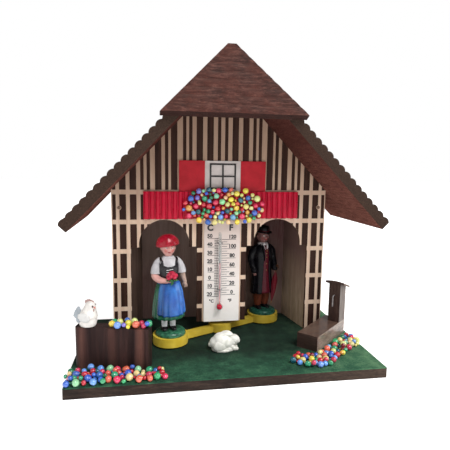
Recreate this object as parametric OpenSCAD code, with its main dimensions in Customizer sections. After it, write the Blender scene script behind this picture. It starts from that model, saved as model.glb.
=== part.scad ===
// Weather house: a half-timbered chalet on a green base board. A beam hung on a gut strand
// turns with the damp and brings one of two figures out of its doorway.
// Millimetres, Z up, the front faces -Y, X = 0 in the middle of the house.

/* [Base] */
// Width of the base board
base_w = 160; // [150:1:176]
// Thickness of the base board
base_t = 5.1; // [4:0.1:8]
// Thickness of the flocked grass sheet
grass_t = 0.4; // [0.2:0.1:1]
// How far the base board sits to the left of the middle of the house
base_off = 2; // [0:0.5:4]

/* [Front panel] */
// Width of the front panel
panel_w = 128; // [122:1:136]
// Thickness of the front panel
panel_t = 2; // [1.6:0.1:3]
// Depth of the garden in front of the panel
porch_d = 57.5; // [52:0.5:70]
// Height of the panel's upright sides
side_h = 87.7; // [84:0.1:100]
// Width of one doorway, from the tongue to the outer jamb
door_w = 38.4; // [34:0.2:42]
// Height of a doorway up to the shoulders of its arch
door_h = 54.3; // [50:0.1:60]
// Radius of the arch
arch_r = 14.6; // [10:0.1:17]
// Height of the arch's centre above the shoulders
arch_lift = 1.6; // [0:0.1:4]
// Width of the tongue between the doorways
tongue_w = 29.8; // [26:0.2:34]
// Gap between the tongue's foot and the grass
tongue_gap = 7.9; // [7.4:0.1:10]

/* [Timbering] */
// Thickness of the printed timbers
print_t = 0.15; // [0.1:0.05:0.4]
// Width of a wide upright timber
wide_timber = 3.7; // [2:0.1:5]
// Width of a narrow upright timber
thin_timber = 1.9; // [1:0.1:3]
// Height of the plain band between two rows of timbers
band_h = 2.7; // [1.5:0.1:4]
// Distance from one plain band to the next
band_pitch = 17.2; // [14:0.1:20]
// Height of the lowest plain band's middle above the grass
band_first = 17.7; // [12:0.1:22]

/* [Walls] */
// Clear depth of the room behind the front panel
room_d = 29.3; // [28:0.1:40]
// Thickness of a side wall
wall_t = 9.5; // [6:0.1:10]
// Angle by which the side walls draw in towards the back
wall_splay = 10.5; // [6:0.5:13]
// Thickness of the back wall
back_t = 2.2; // [1.6:0.1:4]
// Width of the access opening in the back wall
hatch_w = 32; // [24:1:40]
// Height of the access opening's upright sides
hatch_h = 7; // [4:0.5:14]

/* [Roof] */
// Slope of the side roof boards
roof_pitch = 46; // [42:0.5:50]
// Thickness of a roof board without its scallops
roof_t = 4.8; // [3:0.1:7]
// Height of the scallops
wave_h = 1.1; // [0.6:0.1:1.6]
// Number of scallops on one side
roof_waves = 26; // [16:1:32]
// Reach of the eaves beyond the panel's edge
eave_over = 18; // [12:0.5:24]
// Reach of the roof in front of the panel
front_over = 37.5; // [28:0.5:46]
// Slope of the half-hip board
hip_pitch = 66; // [60:0.5:72]
// Thickness of the half-hip board without its scallops
hip_t = 4.5; // [3:0.1:6]
// Number of scallops on the half-hip board
hip_waves = 9; // [6:1:12]
// Height from the hip board's lower edge up to the ridge's underside
hip_drop = 28.5; // [22:0.1:36]
// Reach of the hip board beyond the side boards
hip_over = 2; // [0.5:0.1:4]
// Width cut off each lower corner of the hip board
hip_blunt = 1.6; // [0.4:0.1:2.4]
// Height of the hip board's nose above the ridge
hip_rise = 1.2; // [0:0.1:2]
// Height of the scallops on the half-hip board
hip_wave_h = 0.5; // [0.3:0.1:1.2]

/* [Balcony and window] */
// Width of the balcony rail
balcony_w = 92; // [80:1:100]
// Height of the balcony rail
balcony_h = 15.9; // [12:0.1:18]
// Height of the balcony's lower edge above the grass
balcony_lift = 71.1; // [70.6:0.1:76]
// Thickness of the balcony's back strip
balcony_t = 1.2; // [0.8:0.1:2]
// Number of upright ribs on the balcony
rib_n = 28; // [18:1:32]
// Radius of a balcony rib
rib_r = 1.3; // [0.9:0.1:1.4]
// Width of the white window card
window_w = 21.2; // [18:0.2:24]
// Height of the window card and of the shutters
window_h = 17.8; // [14:0.1:20]
// Width of a shutter
shutter_w = 15; // [10:0.2:18]
// Thickness of the window card
window_t = 0.5; // [0.3:0.1:1]
// Thickness of a shutter
shutter_t = 0.8; // [0.5:0.1:1.5]
// Width of the window's black frame
frame_w = 15.6; // [12:0.1:18]
// Height of the window's black frame
frame_h = 15; // [11:0.1:16]
// Width of a glazing bar
bar_w = 1; // [0.6:0.1:1.6]

/* [Thermometer] */
// Width of the thermometer card
card_w = 21.6; // [18:0.2:25]
// Height of the thermometer card
card_h = 62.8; // [58:0.1:62.9]
// Thickness of the thermometer card
card_t = 0.8; // [0.5:0.1:1.5]
// Radius of the glass tube
tube_r = 0.95; // [0.9:0.05:1.8]
// Radius of the glass bulb
bulb_r = 2.25; // [1.8:0.05:2.6]
// Height of the bulb's middle above the card's foot
bulb_lift = 9.8; // [6:0.1:12]
// Height of the tube from the bulb's middle to its tip
tube_h = 45.5; // [40:0.1:50]
// Height of the red spirit above the bulb's middle
spirit_h = 27; // [10:0.5:36]
// Distance of the tube to the left of the card's middle
tube_off = 1.5; // [0:0.1:3]

/* [Weather beam] */
// Distance of the strand's axis behind the front panel
pivot_gap = 2.2; // [2.1:0.1:3]
// Distance from the strand's axis to the middle of a pad
beam_l = 34.8; // [33:0.1:37]
// Radius of a pad
pad_r = 10.1; // [8.6:0.1:10.5]
// Radius of the hub
hub_r = 7; // [5:0.1:9]
// Width of an arm
arm_w = 5; // [3:0.1:8]
// Thickness of the beam
beam_t = 4.9; // [3:0.1:5.6]
// Height of the arms between the hub and the pads
arm_t = 3.3; // [2:0.1:4]
// Gap between the beam and the grass
beam_clear = 1; // [0.6:0.1:2.4]
// Gap between the inner pad and the back wall at rest
pad_clear = 1.4; // [0.8:0.1:3]
// Radius of the post in the hub
post_r = 1.1; // [0.9:0.05:1.4]
// Height of the post above the beam
post_h = 28; // [20:0.5:36]
// Radius of the gut strand
gut_r = 0.4; // [0.25:0.05:0.5]

/* [Adjusting peg] */
// Height of the rail's top above the grass
rail_lift = 97.5; // [94:0.5:104]
// Thickness of the rail
rail_t = 6; // [4:0.1:8]
// Width of the rail
rail_w = 12; // [8:0.5:16]
// Radius of the peg's shank
peg_r = 1.2; // [1:0.05:1.4]
// Length of the lever from the peg's axis
lever_l = 24; // [18:0.5:25]
// Thickness of the lever
lever_t = 1.6; // [1.2:0.1:2.4]

/* [Figures] */
// Radius of a figure's round foot
foot_r = 8.4; // [7.5:0.1:8.6]
// Height of a figure's round foot
foot_h = 3.4; // [2:0.1:5]
// Radius of the skirt's hem
hem_r = 9.2; // [8:0.1:9.6]
// Height of the skirt's hem above the pad
hem_z = 10.8; // [8:0.1:13]
// Height of the woman's waist above the pad
waist_z = 29.5; // [28:0.1:34]
// Height of the woman's head above the pad
head_z = 50; // [48:0.1:52]
// Radius of a figure's head
head_r = 4.3; // [3.6:0.1:5]
// Radius of the coat's hem
coat_r = 7.4; // [6.5:0.1:8.2]
// Height of the coat's hem above the pad
coat_z = 14; // [12:0.1:17]
// Angle by which the woman is turned towards the tongue
woman_turn = 8; // [0:1:20]
// How far the woman stands out from the middle of the pad
woman_out = 1.2; // [0:0.1:1.2]
// Height of the man's head above the pad
man_head_z = 51.2; // [49:0.1:53]
// Angle by which the man is turned towards the outer jamb
man_turn = 20; // [0:1:40]

/* [Garden] */
// Length of the fluted block
block_l = 37.5; // [34:0.1:42]
// Depth of the fluted block
block_d = 7.8; // [7:0.1:11]
// Height of the fluted block
block_h = 21.1; // [16:0.1:26]
// Angle by which the fluted block is turned
block_turn = -12.5; // [-16:0.5:-6]
// Length of the fountain's trough
trough_l = 38; // [32:0.5:40]
// Width of the fountain's trough
trough_w = 12.5; // [9:0.1:13]
// Height of the fountain's trough
trough_h = 8.6; // [6:0.1:13]
// Angle by which the trough is turned
trough_turn = 43.5; // [38:0.5:48]
// Width of the fountain's post
fount_w = 7.2; // [6:0.1:10]
// Thickness of the fountain's post
fount_t = 8.5; // [5:0.1:10]
// Height of the fountain's post at its front
fount_h = 24.3; // [16:0.1:28]
// Thickness of the fountain's cap
cap_t = 1.1; // [0.8:0.1:2.5]
// Angle by which the fountain's cap slopes down to the back
cap_slope = 20; // [10:1:26]
// Reach of the cap beyond the post's sides
cap_side = 2.2; // [1:0.1:3]
// Radius of the spout's wire
spout_r = 0.4; // [0.3:0.05:0.8]
// Largest radius of a flower bead
bead_max = 2; // [1.5:0.05:2.2]
// Smallest radius of a flower bead
bead_min = 1.1; // [0.8:0.05:1.3]
// Greatest height of a bead's middle in a heap of beads
bead_top = 2.9; // [2:0.1:4]
// Half the width of the balcony's oval of beads
oval_w = 23.4; // [18:0.1:26]
// Half the height of the balcony's oval of beads
oval_h = 9.8; // [7:0.1:11]

/* [Output] */
// Sub-part to draw

/* [Hidden] */
$fn = 64;
// Running gap between a turning piece and what guides it, and a gap too small to see
fit = 0.05;
eps = 0.02;
far = 400;

// Depths, front to back
base_d = porch_d + panel_t + room_d + back_t;
y_edge = -base_d / 2;
y_front = y_edge + porch_d;
y_room = y_front + panel_t;
y_back = y_room + room_d;
y_end = y_back + back_t;
y_print = y_front - print_t;
y_card = y_print - card_t;
y_pivot = y_room + pivot_gap;
x_left = -base_w / 2 - base_off;
x_right = base_w / 2 - base_off;

// Heights
z_top = base_t + grass_t;
z_tongue = z_top + tongue_gap;
z_side = z_top + side_h;
z_ridge = z_side + panel_w / 2 * tan(roof_pitch);
z_balcony = z_top + balcony_lift;
z_window = z_balcony + balcony_h + eps;
z_beam = z_top + beam_clear;
z_pad = z_beam + beam_t;
z_rail = z_top + rail_lift;

// Doorways
door_x = tongue_w / 2 + door_w / 2;
jamb_x = tongue_w / 2 + door_w;

// Roof
eave_x = panel_w / 2 + eave_over;
slope_l = eave_x / cos(roof_pitch);
roof_full = roof_t + wave_h;
y_gable = y_front - front_over;
z_hip = z_ridge - hip_drop;
z_crown = z_ridge + roof_full / cos(roof_pitch);

// Reach of the peg below the rail, and depth of the strand's sockets
peg_foot = 2;
socket = 5;

// Beam at rest: the inner pad stands a little clear of the back wall
beam_turn = asin((room_d - pivot_gap - pad_r - pad_clear) / beam_l);
tube_z = z_tongue + bulb_lift;

// Upright timbers, as distances from the middle
wide_at = [7.4, 13.6, 28.3, 37.4, 51.7, 57.6];
thin_at = [2.1, 18.8, 22.3, 32.6, 43, 46.6, 62.4];

// Balcony ribs
rib_pitch = balcony_w / rib_n;
rib_out = min(rib_r, rib_pitch / 2 - 0.05);

// Garden
block_at = [x_left + 2.1, y_edge + 20.7];
trough_at = [x_right - 29.2, y_edge + 22.6];
cap_half = fount_w / 2 + cap_side;
spout_z = trough_h + fount_h * 0.68;

// Radius of a scallop of the given width and height
function wave_r(w, h) = (w * w / 4 + h * h) / (2 * h);

// Radius of the bow of the fountain's cap, which is higher in the middle than at its sides
cap_bow = 0.6;
cap_r = wave_r(2 * cap_half, cap_bow);

// Distance from a point to the stretch between two others
function reach(p, a, b) = let(
        d = b - a,
        k = max(0, min(1, ((p - a) * d) / (d * d)))
    ) norm(p - a - k * d);

// Beads to try on one plane, from large to small: [x, y, radius]
function bead_tries(n, lo, hi, seed) = let(
        x = rands(lo[0], hi[0], n, seed),
        y = rands(lo[1], hi[1], n, seed + 1),
        k = rands(-0.15, 0.15, n, seed + 2)
    ) [for (i = [0:n - 1])
        let(t = max(0, min(1, pow(i / n, 0.3) + k[i])))
        [x[i], y[i], bead_max + (bead_min - bead_max) * t]];

// Height at which a bead comes to rest on the plane or on the beads already there
function rest_height(b, kept) = max(concat([b[2]], [for (k = kept)
    let(
        d = norm([b[0] - k[0], b[1] - k[1]]),
        s = b[2] + k[2] + eps
    )
    if (d < s) k[3] + sqrt(s * s - d * d)]));

// Heap of beads [x, y, radius, height]: those that fit on the plane, then those that lie in the
// hollows between them, no higher than top
function heap(tries, top, i = 0, kept = []) = i == len(tries) ? kept
    : let(h = rest_height(tries[i], kept))
    heap(tries, top, i + 1, h <= max(tries[i][2], top) ? concat(kept, [concat(tries[i], h)]) : kept);
function pile(tries) = heap(tries, bead_top, 0, heap(tries, 0));

// Bead beds: the balcony's oval, the block's top, the strip in front of the block, and the
// bent strip round the trough's front corner
function in_oval(b) = pow(abs(b[0]) / oval_w, 2.8) + pow(abs(b[1]) / oval_h, 2.8) < 1;
function block_line(x) = block_at[1] + (x - block_at[0]) * tan(block_turn);
balcony_beads = pile([for (b = bead_tries(2600, [-oval_w, -oval_h], [oval_w, oval_h], 11))
    if (in_oval(b)) b]);
block_beads = pile(bead_tries(300, [block_l - 19, 0.3], [block_l - 0.6, block_d - 1], 23));
left_beads = pile([for (b = bead_tries(1800, [x_left + 1.4, y_edge + 0.8],
        [x_left + 47, y_edge + 18], 37))
    if (b[1] < min(y_edge + 15, block_line(b[0]) - b[2] - 0.3)) b]);
right_path = [trough_at + [-12.7, -10.3], trough_at + [-3, -13.4], trough_at + [27.5, 13.6]];
path_half = 5.4;
// Distance of a point from the trough's foot
function trough_gap(b) = let(
        d = [b[0] - trough_at[0], b[1] - trough_at[1]],
        u = d * [cos(trough_turn), sin(trough_turn)],
        v = d * [-sin(trough_turn), cos(trough_turn)]
    ) norm([max(-u, 0, u - trough_l), max(-v, 0, v - trough_w)]);
right_beads = pile([for (b = bead_tries(3600, trough_at + [-19, -19], trough_at + [29, 20], 51))
    if (min(reach([b[0], b[1]], right_path[0], right_path[1]),
            reach([b[0], b[1]], right_path[1], right_path[2])) < path_half
        && trough_gap(b) > b[2] + 0.3 && b[0] < x_right - 1) b]);

module base_board() {
    color("saddlebrown")
    translate([x_left, y_edge, 0])
    cube([base_w, base_d, base_t]);
}

module grass_sheet() {
    color("darkgreen")
    translate([x_left, y_edge, base_t])
    cube([base_w, base_d, grass_t]);
}

// Outline of the panel in its own plane
module gable_shape() {
    polygon([[-panel_w / 2, z_top], [panel_w / 2, z_top], [panel_w / 2, z_side],
        [0, z_ridge], [-panel_w / 2, z_side]]);
}

module door_shape() {
    for (s = [-1, 1]) {
        translate([s * door_x - door_w / 2, z_top - 1])
        square([door_w, door_h + 1]);
        translate([s * door_x, z_top + door_h + arch_lift])
        circle(r = arch_r);
        translate([s * door_x - arch_r, z_top + door_h - 1])
        square([2 * arch_r, arch_lift + 1]);
    }
    translate([-door_x, z_top - 1])
    square([2 * door_x, tongue_gap + 1]);
}

module panel_shape() {
    difference() {
        gable_shape();
        door_shape();
    }
}

// Turns a drawing in x and height upright, standing from depth y back by d
module upright(y, d) {
    translate([0, y + d, 0])
    rotate([90, 0, 0])
    linear_extrude(d)
    children();
}

module front_panel() {
    color("burlywood")
    difference() {
        upright(y_front, panel_t) panel_shape();
        nail_bores();
    }
}

module timber_print() {
    color("brown")
    upright(y_print, print_t)
    difference() {
        intersection() {
            panel_shape();
            timber_columns();
        }
        for (i = [0:4])
            translate([-panel_w, z_top + band_first + i * band_pitch - band_h / 2])
            square([2 * panel_w, band_h]);
        for (s = [-1, 1])
            translate([s * nail_x(), nail_z()])
            circle(r = nail_head_r + 0.3);
    }
}

module timber_columns() {
    for (s = [-1, 1]) {
        for (x = wide_at)
            translate([s * x - wide_timber / 2, 0])
            square([wide_timber, z_ridge]);
        for (x = thin_at)
            translate([s * x - thin_timber / 2, 0])
            square([thin_timber, z_ridge]);
    }
}

// Brads through the panel into the front edges of the side walls
nail_head_r = 1;
nail_r = 0.5;
nail_l = 8;
function nail_x() = jamb_x + min(wall_t - 2, panel_w / 2 - jamb_x - 2.5) * 0.85;
function nail_z() = z_balcony + 6.4;

module nail_bores() {
    for (s = [-1, 1])
        translate([s * nail_x(), y_front - 1, nail_z()])
        rotate([-90, 0, 0])
        cylinder(h = nail_l + 1, r = nail_r);
}

module panel_nails() {
    color("silver")
    for (s = [-1, 1])
        translate([s * nail_x(), y_front, nail_z()])
        rotate([-90, 0, 0])
        rotate_extrude()
        polygon([[0, -0.6], [0.6, -0.6], [nail_head_r, -0.2], [nail_head_r, 0], [nail_r, 0],
            [nail_r, nail_l - 1.5], [0, nail_l - 0.2]]);
}

// Everything below the undersides of the side roof boards
module under_roof() {
    translate([0, far / 2, 0])
    rotate([90, 0, 0])
    linear_extrude(far)
    polygon([[-eave_x, z_ridge - eave_x * tan(roof_pitch)], [-eave_x, 0], [eave_x, 0],
        [eave_x, z_ridge - eave_x * tan(roof_pitch)], [0, z_ridge]]);
}

module right_wall_body() {
    draw_in = room_d * tan(wall_splay);
    wide = wall_t / cos(wall_splay);
    difference() {
        intersection() {
            translate([0, 0, z_top])
            linear_extrude(far)
            polygon([[jamb_x, y_room], [jamb_x + wide, y_room],
                [jamb_x + wide - draw_in, y_back], [jamb_x - draw_in, y_back]]);
            under_roof();
        }
        nail_bores();
    }
}

module right_side_wall() {
    color("peru")
    right_wall_body();
}

module left_side_wall() {
    color("peru")
    mirror([1, 0, 0])
    right_wall_body();
}

module back_wall() {
    half = jamb_x + wall_t / cos(wall_splay) - room_d * tan(wall_splay);
    color("sienna")
    upright(y_back, back_t)
    difference() {
        polygon([[-half, z_top], [half, z_top], [half, z_ridge - half * tan(roof_pitch)],
            [0, z_ridge], [-half, z_ridge - half * tan(roof_pitch)]]);
        translate([-hatch_w / 2, z_rail])
        square([hatch_w, hatch_h]);
        translate([0, z_rail + hatch_h])
        intersection() {
            circle(r = hatch_w / 2);
            translate([-hatch_w / 2, -1])
            square([hatch_w, hatch_w * 0.3]);
        }
    }
}

// Cross-section of a scalloped board: flat below, n round scallops along the top
module wave_section(l, n, t, h) {
    w = l / n;
    r = wave_r(w, h);
    square([l, t + 0.02]);
    intersection() {
        for (i = [0:n - 1])
            translate([(i + 0.5) * w, t + h - r])
            circle(r = r, $fn = 96);
        translate([0, t / 2])
        square([l, t + h]);
    }
}

// Moves a drawing into the hip board's own frame: origin in the middle of its lower edge,
// local Y up the slope, local Z out of the board
module on_hip() {
    translate([0, y_gable, z_hip])
    rotate([hip_pitch, 0, 0])
    children();
}

// Board drawn down the slope from past the ridge, then mitred in the middle of the house and
// cut off along the underside of the hip board
module right_roof_body() {
    past = roof_full * tan(roof_pitch);
    difference() {
        translate([0, y_end, 0])
        rotate([90, 0, 0])
        linear_extrude(y_end - y_gable)
        intersection() {
            translate([0, z_ridge])
            rotate(-roof_pitch)
            translate([-past, 0])
            wave_section(slope_l + past, roof_waves, roof_t, wave_h);
            square([far, far]);
        }
        on_hip()
        translate([-far / 2, -far / 2, 0])
        cube([far, far, far / 2]);
    }
}

module right_roof() {
    color("maroon")
    right_roof_body();
}

module left_roof() {
    color("maroon")
    mirror([1, 0, 0])
    right_roof_body();
}

module hip_roof() {
    z_nose = z_crown + hip_rise;
    up_l = (z_nose - z_hip) / sin(hip_pitch);
    side = (roof_full + hip_over) / sin(roof_pitch);
    foot = (z_ridge - z_hip) / tan(roof_pitch) + side;
    nose = 2.2;
    blunt_z = z_hip + hip_blunt * (z_nose - z_hip) / (foot - nose);
    corner = [foot - hip_blunt, blunt_z];
    color("maroon")
    intersection() {
        on_hip()
        translate([-far / 2, 0, 0])
        rotate([90, 0, 90])
        linear_extrude(far)
        wave_section(up_l, hip_waves, hip_t, hip_wave_h);
        translate([0, far / 2, 0])
        rotate([90, 0, 0])
        linear_extrude(far)
        polygon([[-corner[0], corner[1]], [-corner[0], z_hip - 10], [corner[0], z_hip - 10], corner,
            [nose, z_nose], [-nose, z_nose]]);
    }
}

module window_card() {
    color("white")
    upright(y_print - window_t, window_t)
    translate([-window_w / 2, z_window])
    square([window_w, window_h]);
}

module window_bars() {
    color("black")
    translate([0, 0, z_window + window_h / 2])
    upright(y_print - window_t - 0.3, 0.3)
    difference() {
        square([frame_w, frame_h], center = true);
        for (sx = [-1, 1], sz = [-1, 1]) {
            pane_w = (frame_w - 3 * bar_w) / 2;
            pane_h = (frame_h - 3 * bar_w) / 2;
            translate([sx * (pane_w + bar_w) / 2, sz * (pane_h + bar_w) / 2])
            square([pane_w, pane_h], center = true);
        }
    }
}

module shutter(s) {
    upright(y_print - shutter_t, shutter_t)
    translate([s * (window_w / 2 + eps + shutter_w / 2) - shutter_w / 2, z_window])
    square([shutter_w, window_h]);
}

module left_shutter() {
    color("crimson")
    shutter(-1);
}

module right_shutter() {
    color("crimson")
    shutter(1);
}

module balcony_rail() {
    color("crimson")
    translate([-balcony_w / 2, y_print, z_balcony])
    linear_extrude(balcony_h)
    difference() {
        union() {
            translate([0, -balcony_t])
            square([balcony_w, balcony_t]);
            for (i = [0:rib_n - 1])
                translate([(i + 0.5) * rib_pitch, -balcony_t])
                circle(r = rib_out, $fn = 24);
        }
        square([balcony_w, 2 * rib_out]);
    }
}

module balcony_flowers() {
    color("gold")
    translate([0, y_print - balcony_t - rib_out - eps, z_balcony + balcony_h / 2 - 0.3])
    for (b = balcony_beads)
        translate([b[0], -b[3], b[1]])
        sphere(r = b[2], $fn = 24);
}

module thermometer_card() {
    color("white")
    upright(y_card, card_t)
    translate([-card_w / 2, z_tongue])
    square([card_w, card_h]);
}

module tube_profile(bulb, stem, low, high) {
    union() {
        intersection() {
            circle(r = bulb);
            translate([0, low])
            square([bulb, 2 * bulb]);
        }
        square([stem, high - stem]);
        translate([0, high - stem])
        intersection() {
            circle(r = stem);
            square([stem, stem]);
        }
    }
}

// The bulb stands proud of the card, so the tube's axis clears the card by the bulb's radius
module at_tube() {
    translate([-tube_off, y_card - bulb_r - eps, tube_z])
    children();
}

module thermometer_tube() {
    color("lightblue")
    at_tube()
    difference() {
        rotate_extrude() tube_profile(bulb_r, tube_r, -bulb_r, tube_h);
        rotate_extrude() tube_profile(bulb_r - 0.5, tube_r - 0.4, -bulb_r + 0.5, tube_h - 1);
    }
}

module thermometer_spirit() {
    color("red")
    at_tube()
    rotate_extrude()
    tube_profile(bulb_r - 0.5 - fit, tube_r - 0.4 - fit, -bulb_r + 0.5 + fit, spirit_h);
}

// Wire staples over the tube with both legs in the card's face
module tube_clips() {
    wire = 0.3;
    ring = tube_r + wire + fit;
    leg = bulb_r + eps;
    color("silver")
    for (z = [0.24, 0.86])
        at_tube()
        translate([0, 0, z * tube_h]) {
            rotate([0, 0, 180])
            rotate_extrude(angle = 180)
            translate([ring, 0])
            circle(r = wire, $fn = 20);
            for (s = [-1, 1])
                translate([s * ring, 0, 0])
                rotate([-90, 0, 0])
                cylinder(h = leg, r = wire, $fn = 20);
        }
}

module gut_rail() {
    color("tan")
    difference() {
        translate([-rail_w / 2, y_room, z_rail - rail_t])
        cube([rail_w, room_d, rail_t]);
        translate([0, y_pivot, z_rail - rail_t - 1])
        cylinder(h = rail_t + 2, r = peg_r + fit);
    }
}

// Peg hanging in the rail by its lever, with a socket for the strand in its foot
module adjusting_peg() {
    lever_w = 2 * min(1.9, pivot_gap - 0.3);
    low = -rail_t - peg_foot;
    color("goldenrod")
    translate([0, y_pivot, z_rail])
    difference() {
        union() {
            translate([0, 0, low])
            cylinder(h = -low + 0.5, r = peg_r);
            translate([0, 0, eps])
            linear_extrude(lever_t) {
                circle(r = lever_w / 2);
                translate([-lever_w / 2, 0])
                square([lever_w, lever_l - lever_w / 2]);
                translate([0, lever_l - lever_w / 2])
                circle(r = lever_w / 2);
            }
        }
        translate([0, 0, low - 1])
        cylinder(h = socket + 1, r = gut_r + eps, $fn = 24);
    }
}

// The beam's frame: origin on the strand's axis, local X from the woman's pad to the man's
module on_beam() {
    translate([0, y_pivot, z_beam])
    rotate([0, 0, beam_turn])
    children();
}

module weather_beam() {
    color("gold")
    on_beam()
    difference() {
        union() {
            linear_extrude(beam_t) {
                circle(r = hub_r);
                for (s = [-1, 1])
                    translate([s * beam_l, 0])
                    circle(r = pad_r);
            }
            linear_extrude(arm_t)
            square([2 * beam_l, arm_w], center = true);
        }
        translate([0, 0, 1])
        cylinder(h = beam_t, r = post_r + eps);
    }
}

module gut_post() {
    color("darkgoldenrod")
    on_beam()
    translate([0, 0, 1])
    difference() {
        cylinder(h = beam_t - 1 + post_h, r = post_r);
        translate([0, 0, beam_t - 1 + post_h - socket])
        cylinder(h = socket + 1, r = gut_r + eps, $fn = 24);
    }
}

module gut_strand() {
    low = z_pad + post_h - socket;
    high = z_rail - rail_t - peg_foot + socket - eps;
    color("wheat")
    translate([0, y_pivot, low])
    cylinder(h = high - low, r = gut_r, $fn = 24);
}

// Stands a figure on the pad at one end, facing the front at rest
module on_pad(s, turn) {
    on_beam()
    translate([s * beam_l, 0, beam_t])
    rotate([0, 0, turn - beam_turn])
    children();
}

module figure_foot() {
    rotate_extrude()
    polygon([[0, 0], [foot_r, 0], [foot_r, 1.2], [foot_r - 2.6, foot_h], [0, foot_h]]);
}

// Rounded limb from a to b
module limb(a, ra, b, rb) {
    hull() {
        translate(a)
        sphere(r = ra, $fn = 16);
        translate(b)
        sphere(r = rb, $fn = 16);
    }
}

module woman_figure() {
    bust = (waist_z + head_z) / 2;
    chest = head_z - head_r - 1.2;
    color("royalblue")
    on_pad(-1, woman_turn)
    translate([-woman_out, 0, 0]) {
        figure_foot();
        for (s = [-1, 1]) {
            translate([s * 2.3, 0, foot_h - 0.5])
            cylinder(h = hem_z - foot_h + 1.5, r = 1.8, $fn = 24);
            translate([s * 2.4, -1.1, foot_h - 0.5])
            cylinder(h = 2.2, r = 2.1, $fn = 24);
        }
        rotate_extrude($fn = 48)
        polygon([[0, hem_z], [hem_r, hem_z], [hem_r - 1, hem_z + 9], [6.3, waist_z - 1],
            [5.6, bust], [4.8, chest - 1.2], [2, chest + 0.6], [2, head_z], [0, head_z]]);
        translate([0, 0, head_z])
        sphere(r = head_r, $fn = 32);
        translate([0, 0.5, head_z])
        rotate_extrude($fn = 40)
        polygon([[0, 1.6], [6.4, 1.6], [6.5, 2.3], [5.7, 4.8], [3.5, 7], [0, 7.8]]);
        for (s = [-1, 1])
            limb([s * 4.8, 0, chest - 2.6], 2.2, [s * 7, -0.5, chest - 7], 2.7);
        limb([-7.8, -1, bust - 3.6], 1.8, [0.4, -6.6, bust - 6.4], 1.6);
        limb([7.9, -0.7, bust - 3], 1.8, [9.2, -2, bust - 9.6], 1.4);
        limb([1, -6.8, bust - 5.4], 1.3, [1.2, -7.4, bust - 3.2], 3.1);
    }
}

module man_figure() {
    chest = man_head_z - head_r - 1.2;
    mid = (coat_z + chest) / 2;
    color("darkslategray")
    on_pad(1, man_turn) {
        figure_foot();
        for (s = [-1, 1]) {
            translate([s * 2.7, 0, foot_h - 0.5])
            cylinder(h = coat_z - foot_h, r = 2, $fn = 24);
            translate([s * 2.9, 0, foot_h + 4.6])
            cylinder(h = coat_z - foot_h - 3.4, r1 = 2.6, r2 = 3.2, $fn = 24);
            translate([s * 2.8, -1.2, foot_h - 0.5])
            cylinder(h = 2.2, r = 2.2, $fn = 24);
        }
        rotate_extrude($fn = 48)
        polygon([[0, coat_z], [coat_r, coat_z], [6.1, mid], [6, chest - 6], [5.2, chest - 1.4],
            [2.2, chest + 0.4], [2.2, man_head_z], [0, man_head_z]]);
        translate([0, 0, man_head_z])
        sphere(r = head_r, $fn = 32);
        translate([0, 0.3, man_head_z])
        rotate_extrude($fn = 40)
        polygon([[0, 2], [6.4, 2], [6.4, 2.9], [4.5, 3.6], [4, 7], [0, 8.4]]);
        for (s = [-1, 1]) {
            limb([s * 5.4, 0, chest - 2.4], 2.4, [s * 7.9, 0.2, chest - 9.2], 2.2);
            limb([s * 7.9, 0.2, chest - 9.2], 2.1, [s * 7.5, -2.8, chest - 15.4], 1.6);
        }
        limb([7.5, -3.4, chest - 18], 1.8, [6.3, -3.9, coat_z - 5.4], 0.6);
    }
}

// The fluted block's frame: origin at its front left foot, local X along its front
module on_block() {
    translate([block_at[0], block_at[1], z_top])
    rotate([0, 0, block_turn])
    children();
}

// Hollow flute of the given half-width and depth, centred along the front at u
module flute(u, half, depth) {
    r = wave_r(2 * half, depth);
    translate([u, depth - r])
    circle(r = r, $fn = 96);
}

module fluted_block() {
    color("saddlebrown")
    on_block()
    linear_extrude(block_h)
    difference() {
        square([block_l, block_d]);
        flute(block_l * 0.29, 6.2, 2.2);
        flute(block_l * 0.68, 4.8, 1.8);
        flute(block_l - 2.9, 1.4, 0.7);
        difference() {
            translate([-1, -1])
            square([3.4, 3.4]);
            translate([2.4, 2.4])
            circle(r = 2.4, $fn = 48);
        }
    }
}

module hen() {
    color("white")
    on_block()
    translate([5.9, block_d / 2, block_h]) {
        cylinder(h = 2.4, r = 3.6, $fn = 32);
        limb([0.3, 0.2, 4.7], 4.6, [1.5, -0.3, 10.2], 2.6);
        hull() {
            translate([-3.4, 0.6, 4])
            sphere(r = 1.5, $fn = 16);
            translate([-5.8, 1, 8.4])
            sphere(r = 0.9, $fn = 16);
            translate([-6.6, 1, 6])
            sphere(r = 0.7, $fn = 16);
        }
        limb([0.1, -0.2, 12.6], 0.9, [2.8, -0.4, 12.9], 0.9);
        limb([3.5, -0.9, 10.4], 0.7, [4.7, -1.3, 10.1], 0.3);
    }
}

module block_flowers() {
    color("orange")
    on_block()
    for (b = block_beads)
        translate([b[0], b[1], block_h + b[3] + eps])
        sphere(r = b[2], $fn = 24);
}

module left_bed_flowers() {
    color("deeppink")
    for (b = left_beads)
        translate([b[0], b[1], z_top + b[3] + eps])
        sphere(r = b[2], $fn = 24);
}

module right_bed_flowers() {
    color("deeppink")
    for (b = right_beads)
        translate([b[0], b[1], z_top + b[3] + eps])
        sphere(r = b[2], $fn = 24);
}

// The trough's frame: origin at its front corner, local X along its right side
module on_trough() {
    translate([trough_at[0], trough_at[1], z_top])
    rotate([0, 0, trough_turn])
    children();
}

module fountain_trough() {
    color("sienna")
    on_trough()
    cube([trough_l, trough_w, trough_h]);
}

// The cap's frame: origin at the middle of the post's upper front edge, local X down the slope
module on_cap() {
    on_trough()
    translate([trough_l - fount_t, fount_w / 2, trough_h + fount_h])
    rotate([0, cap_slope, 0])
    children();
}

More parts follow.
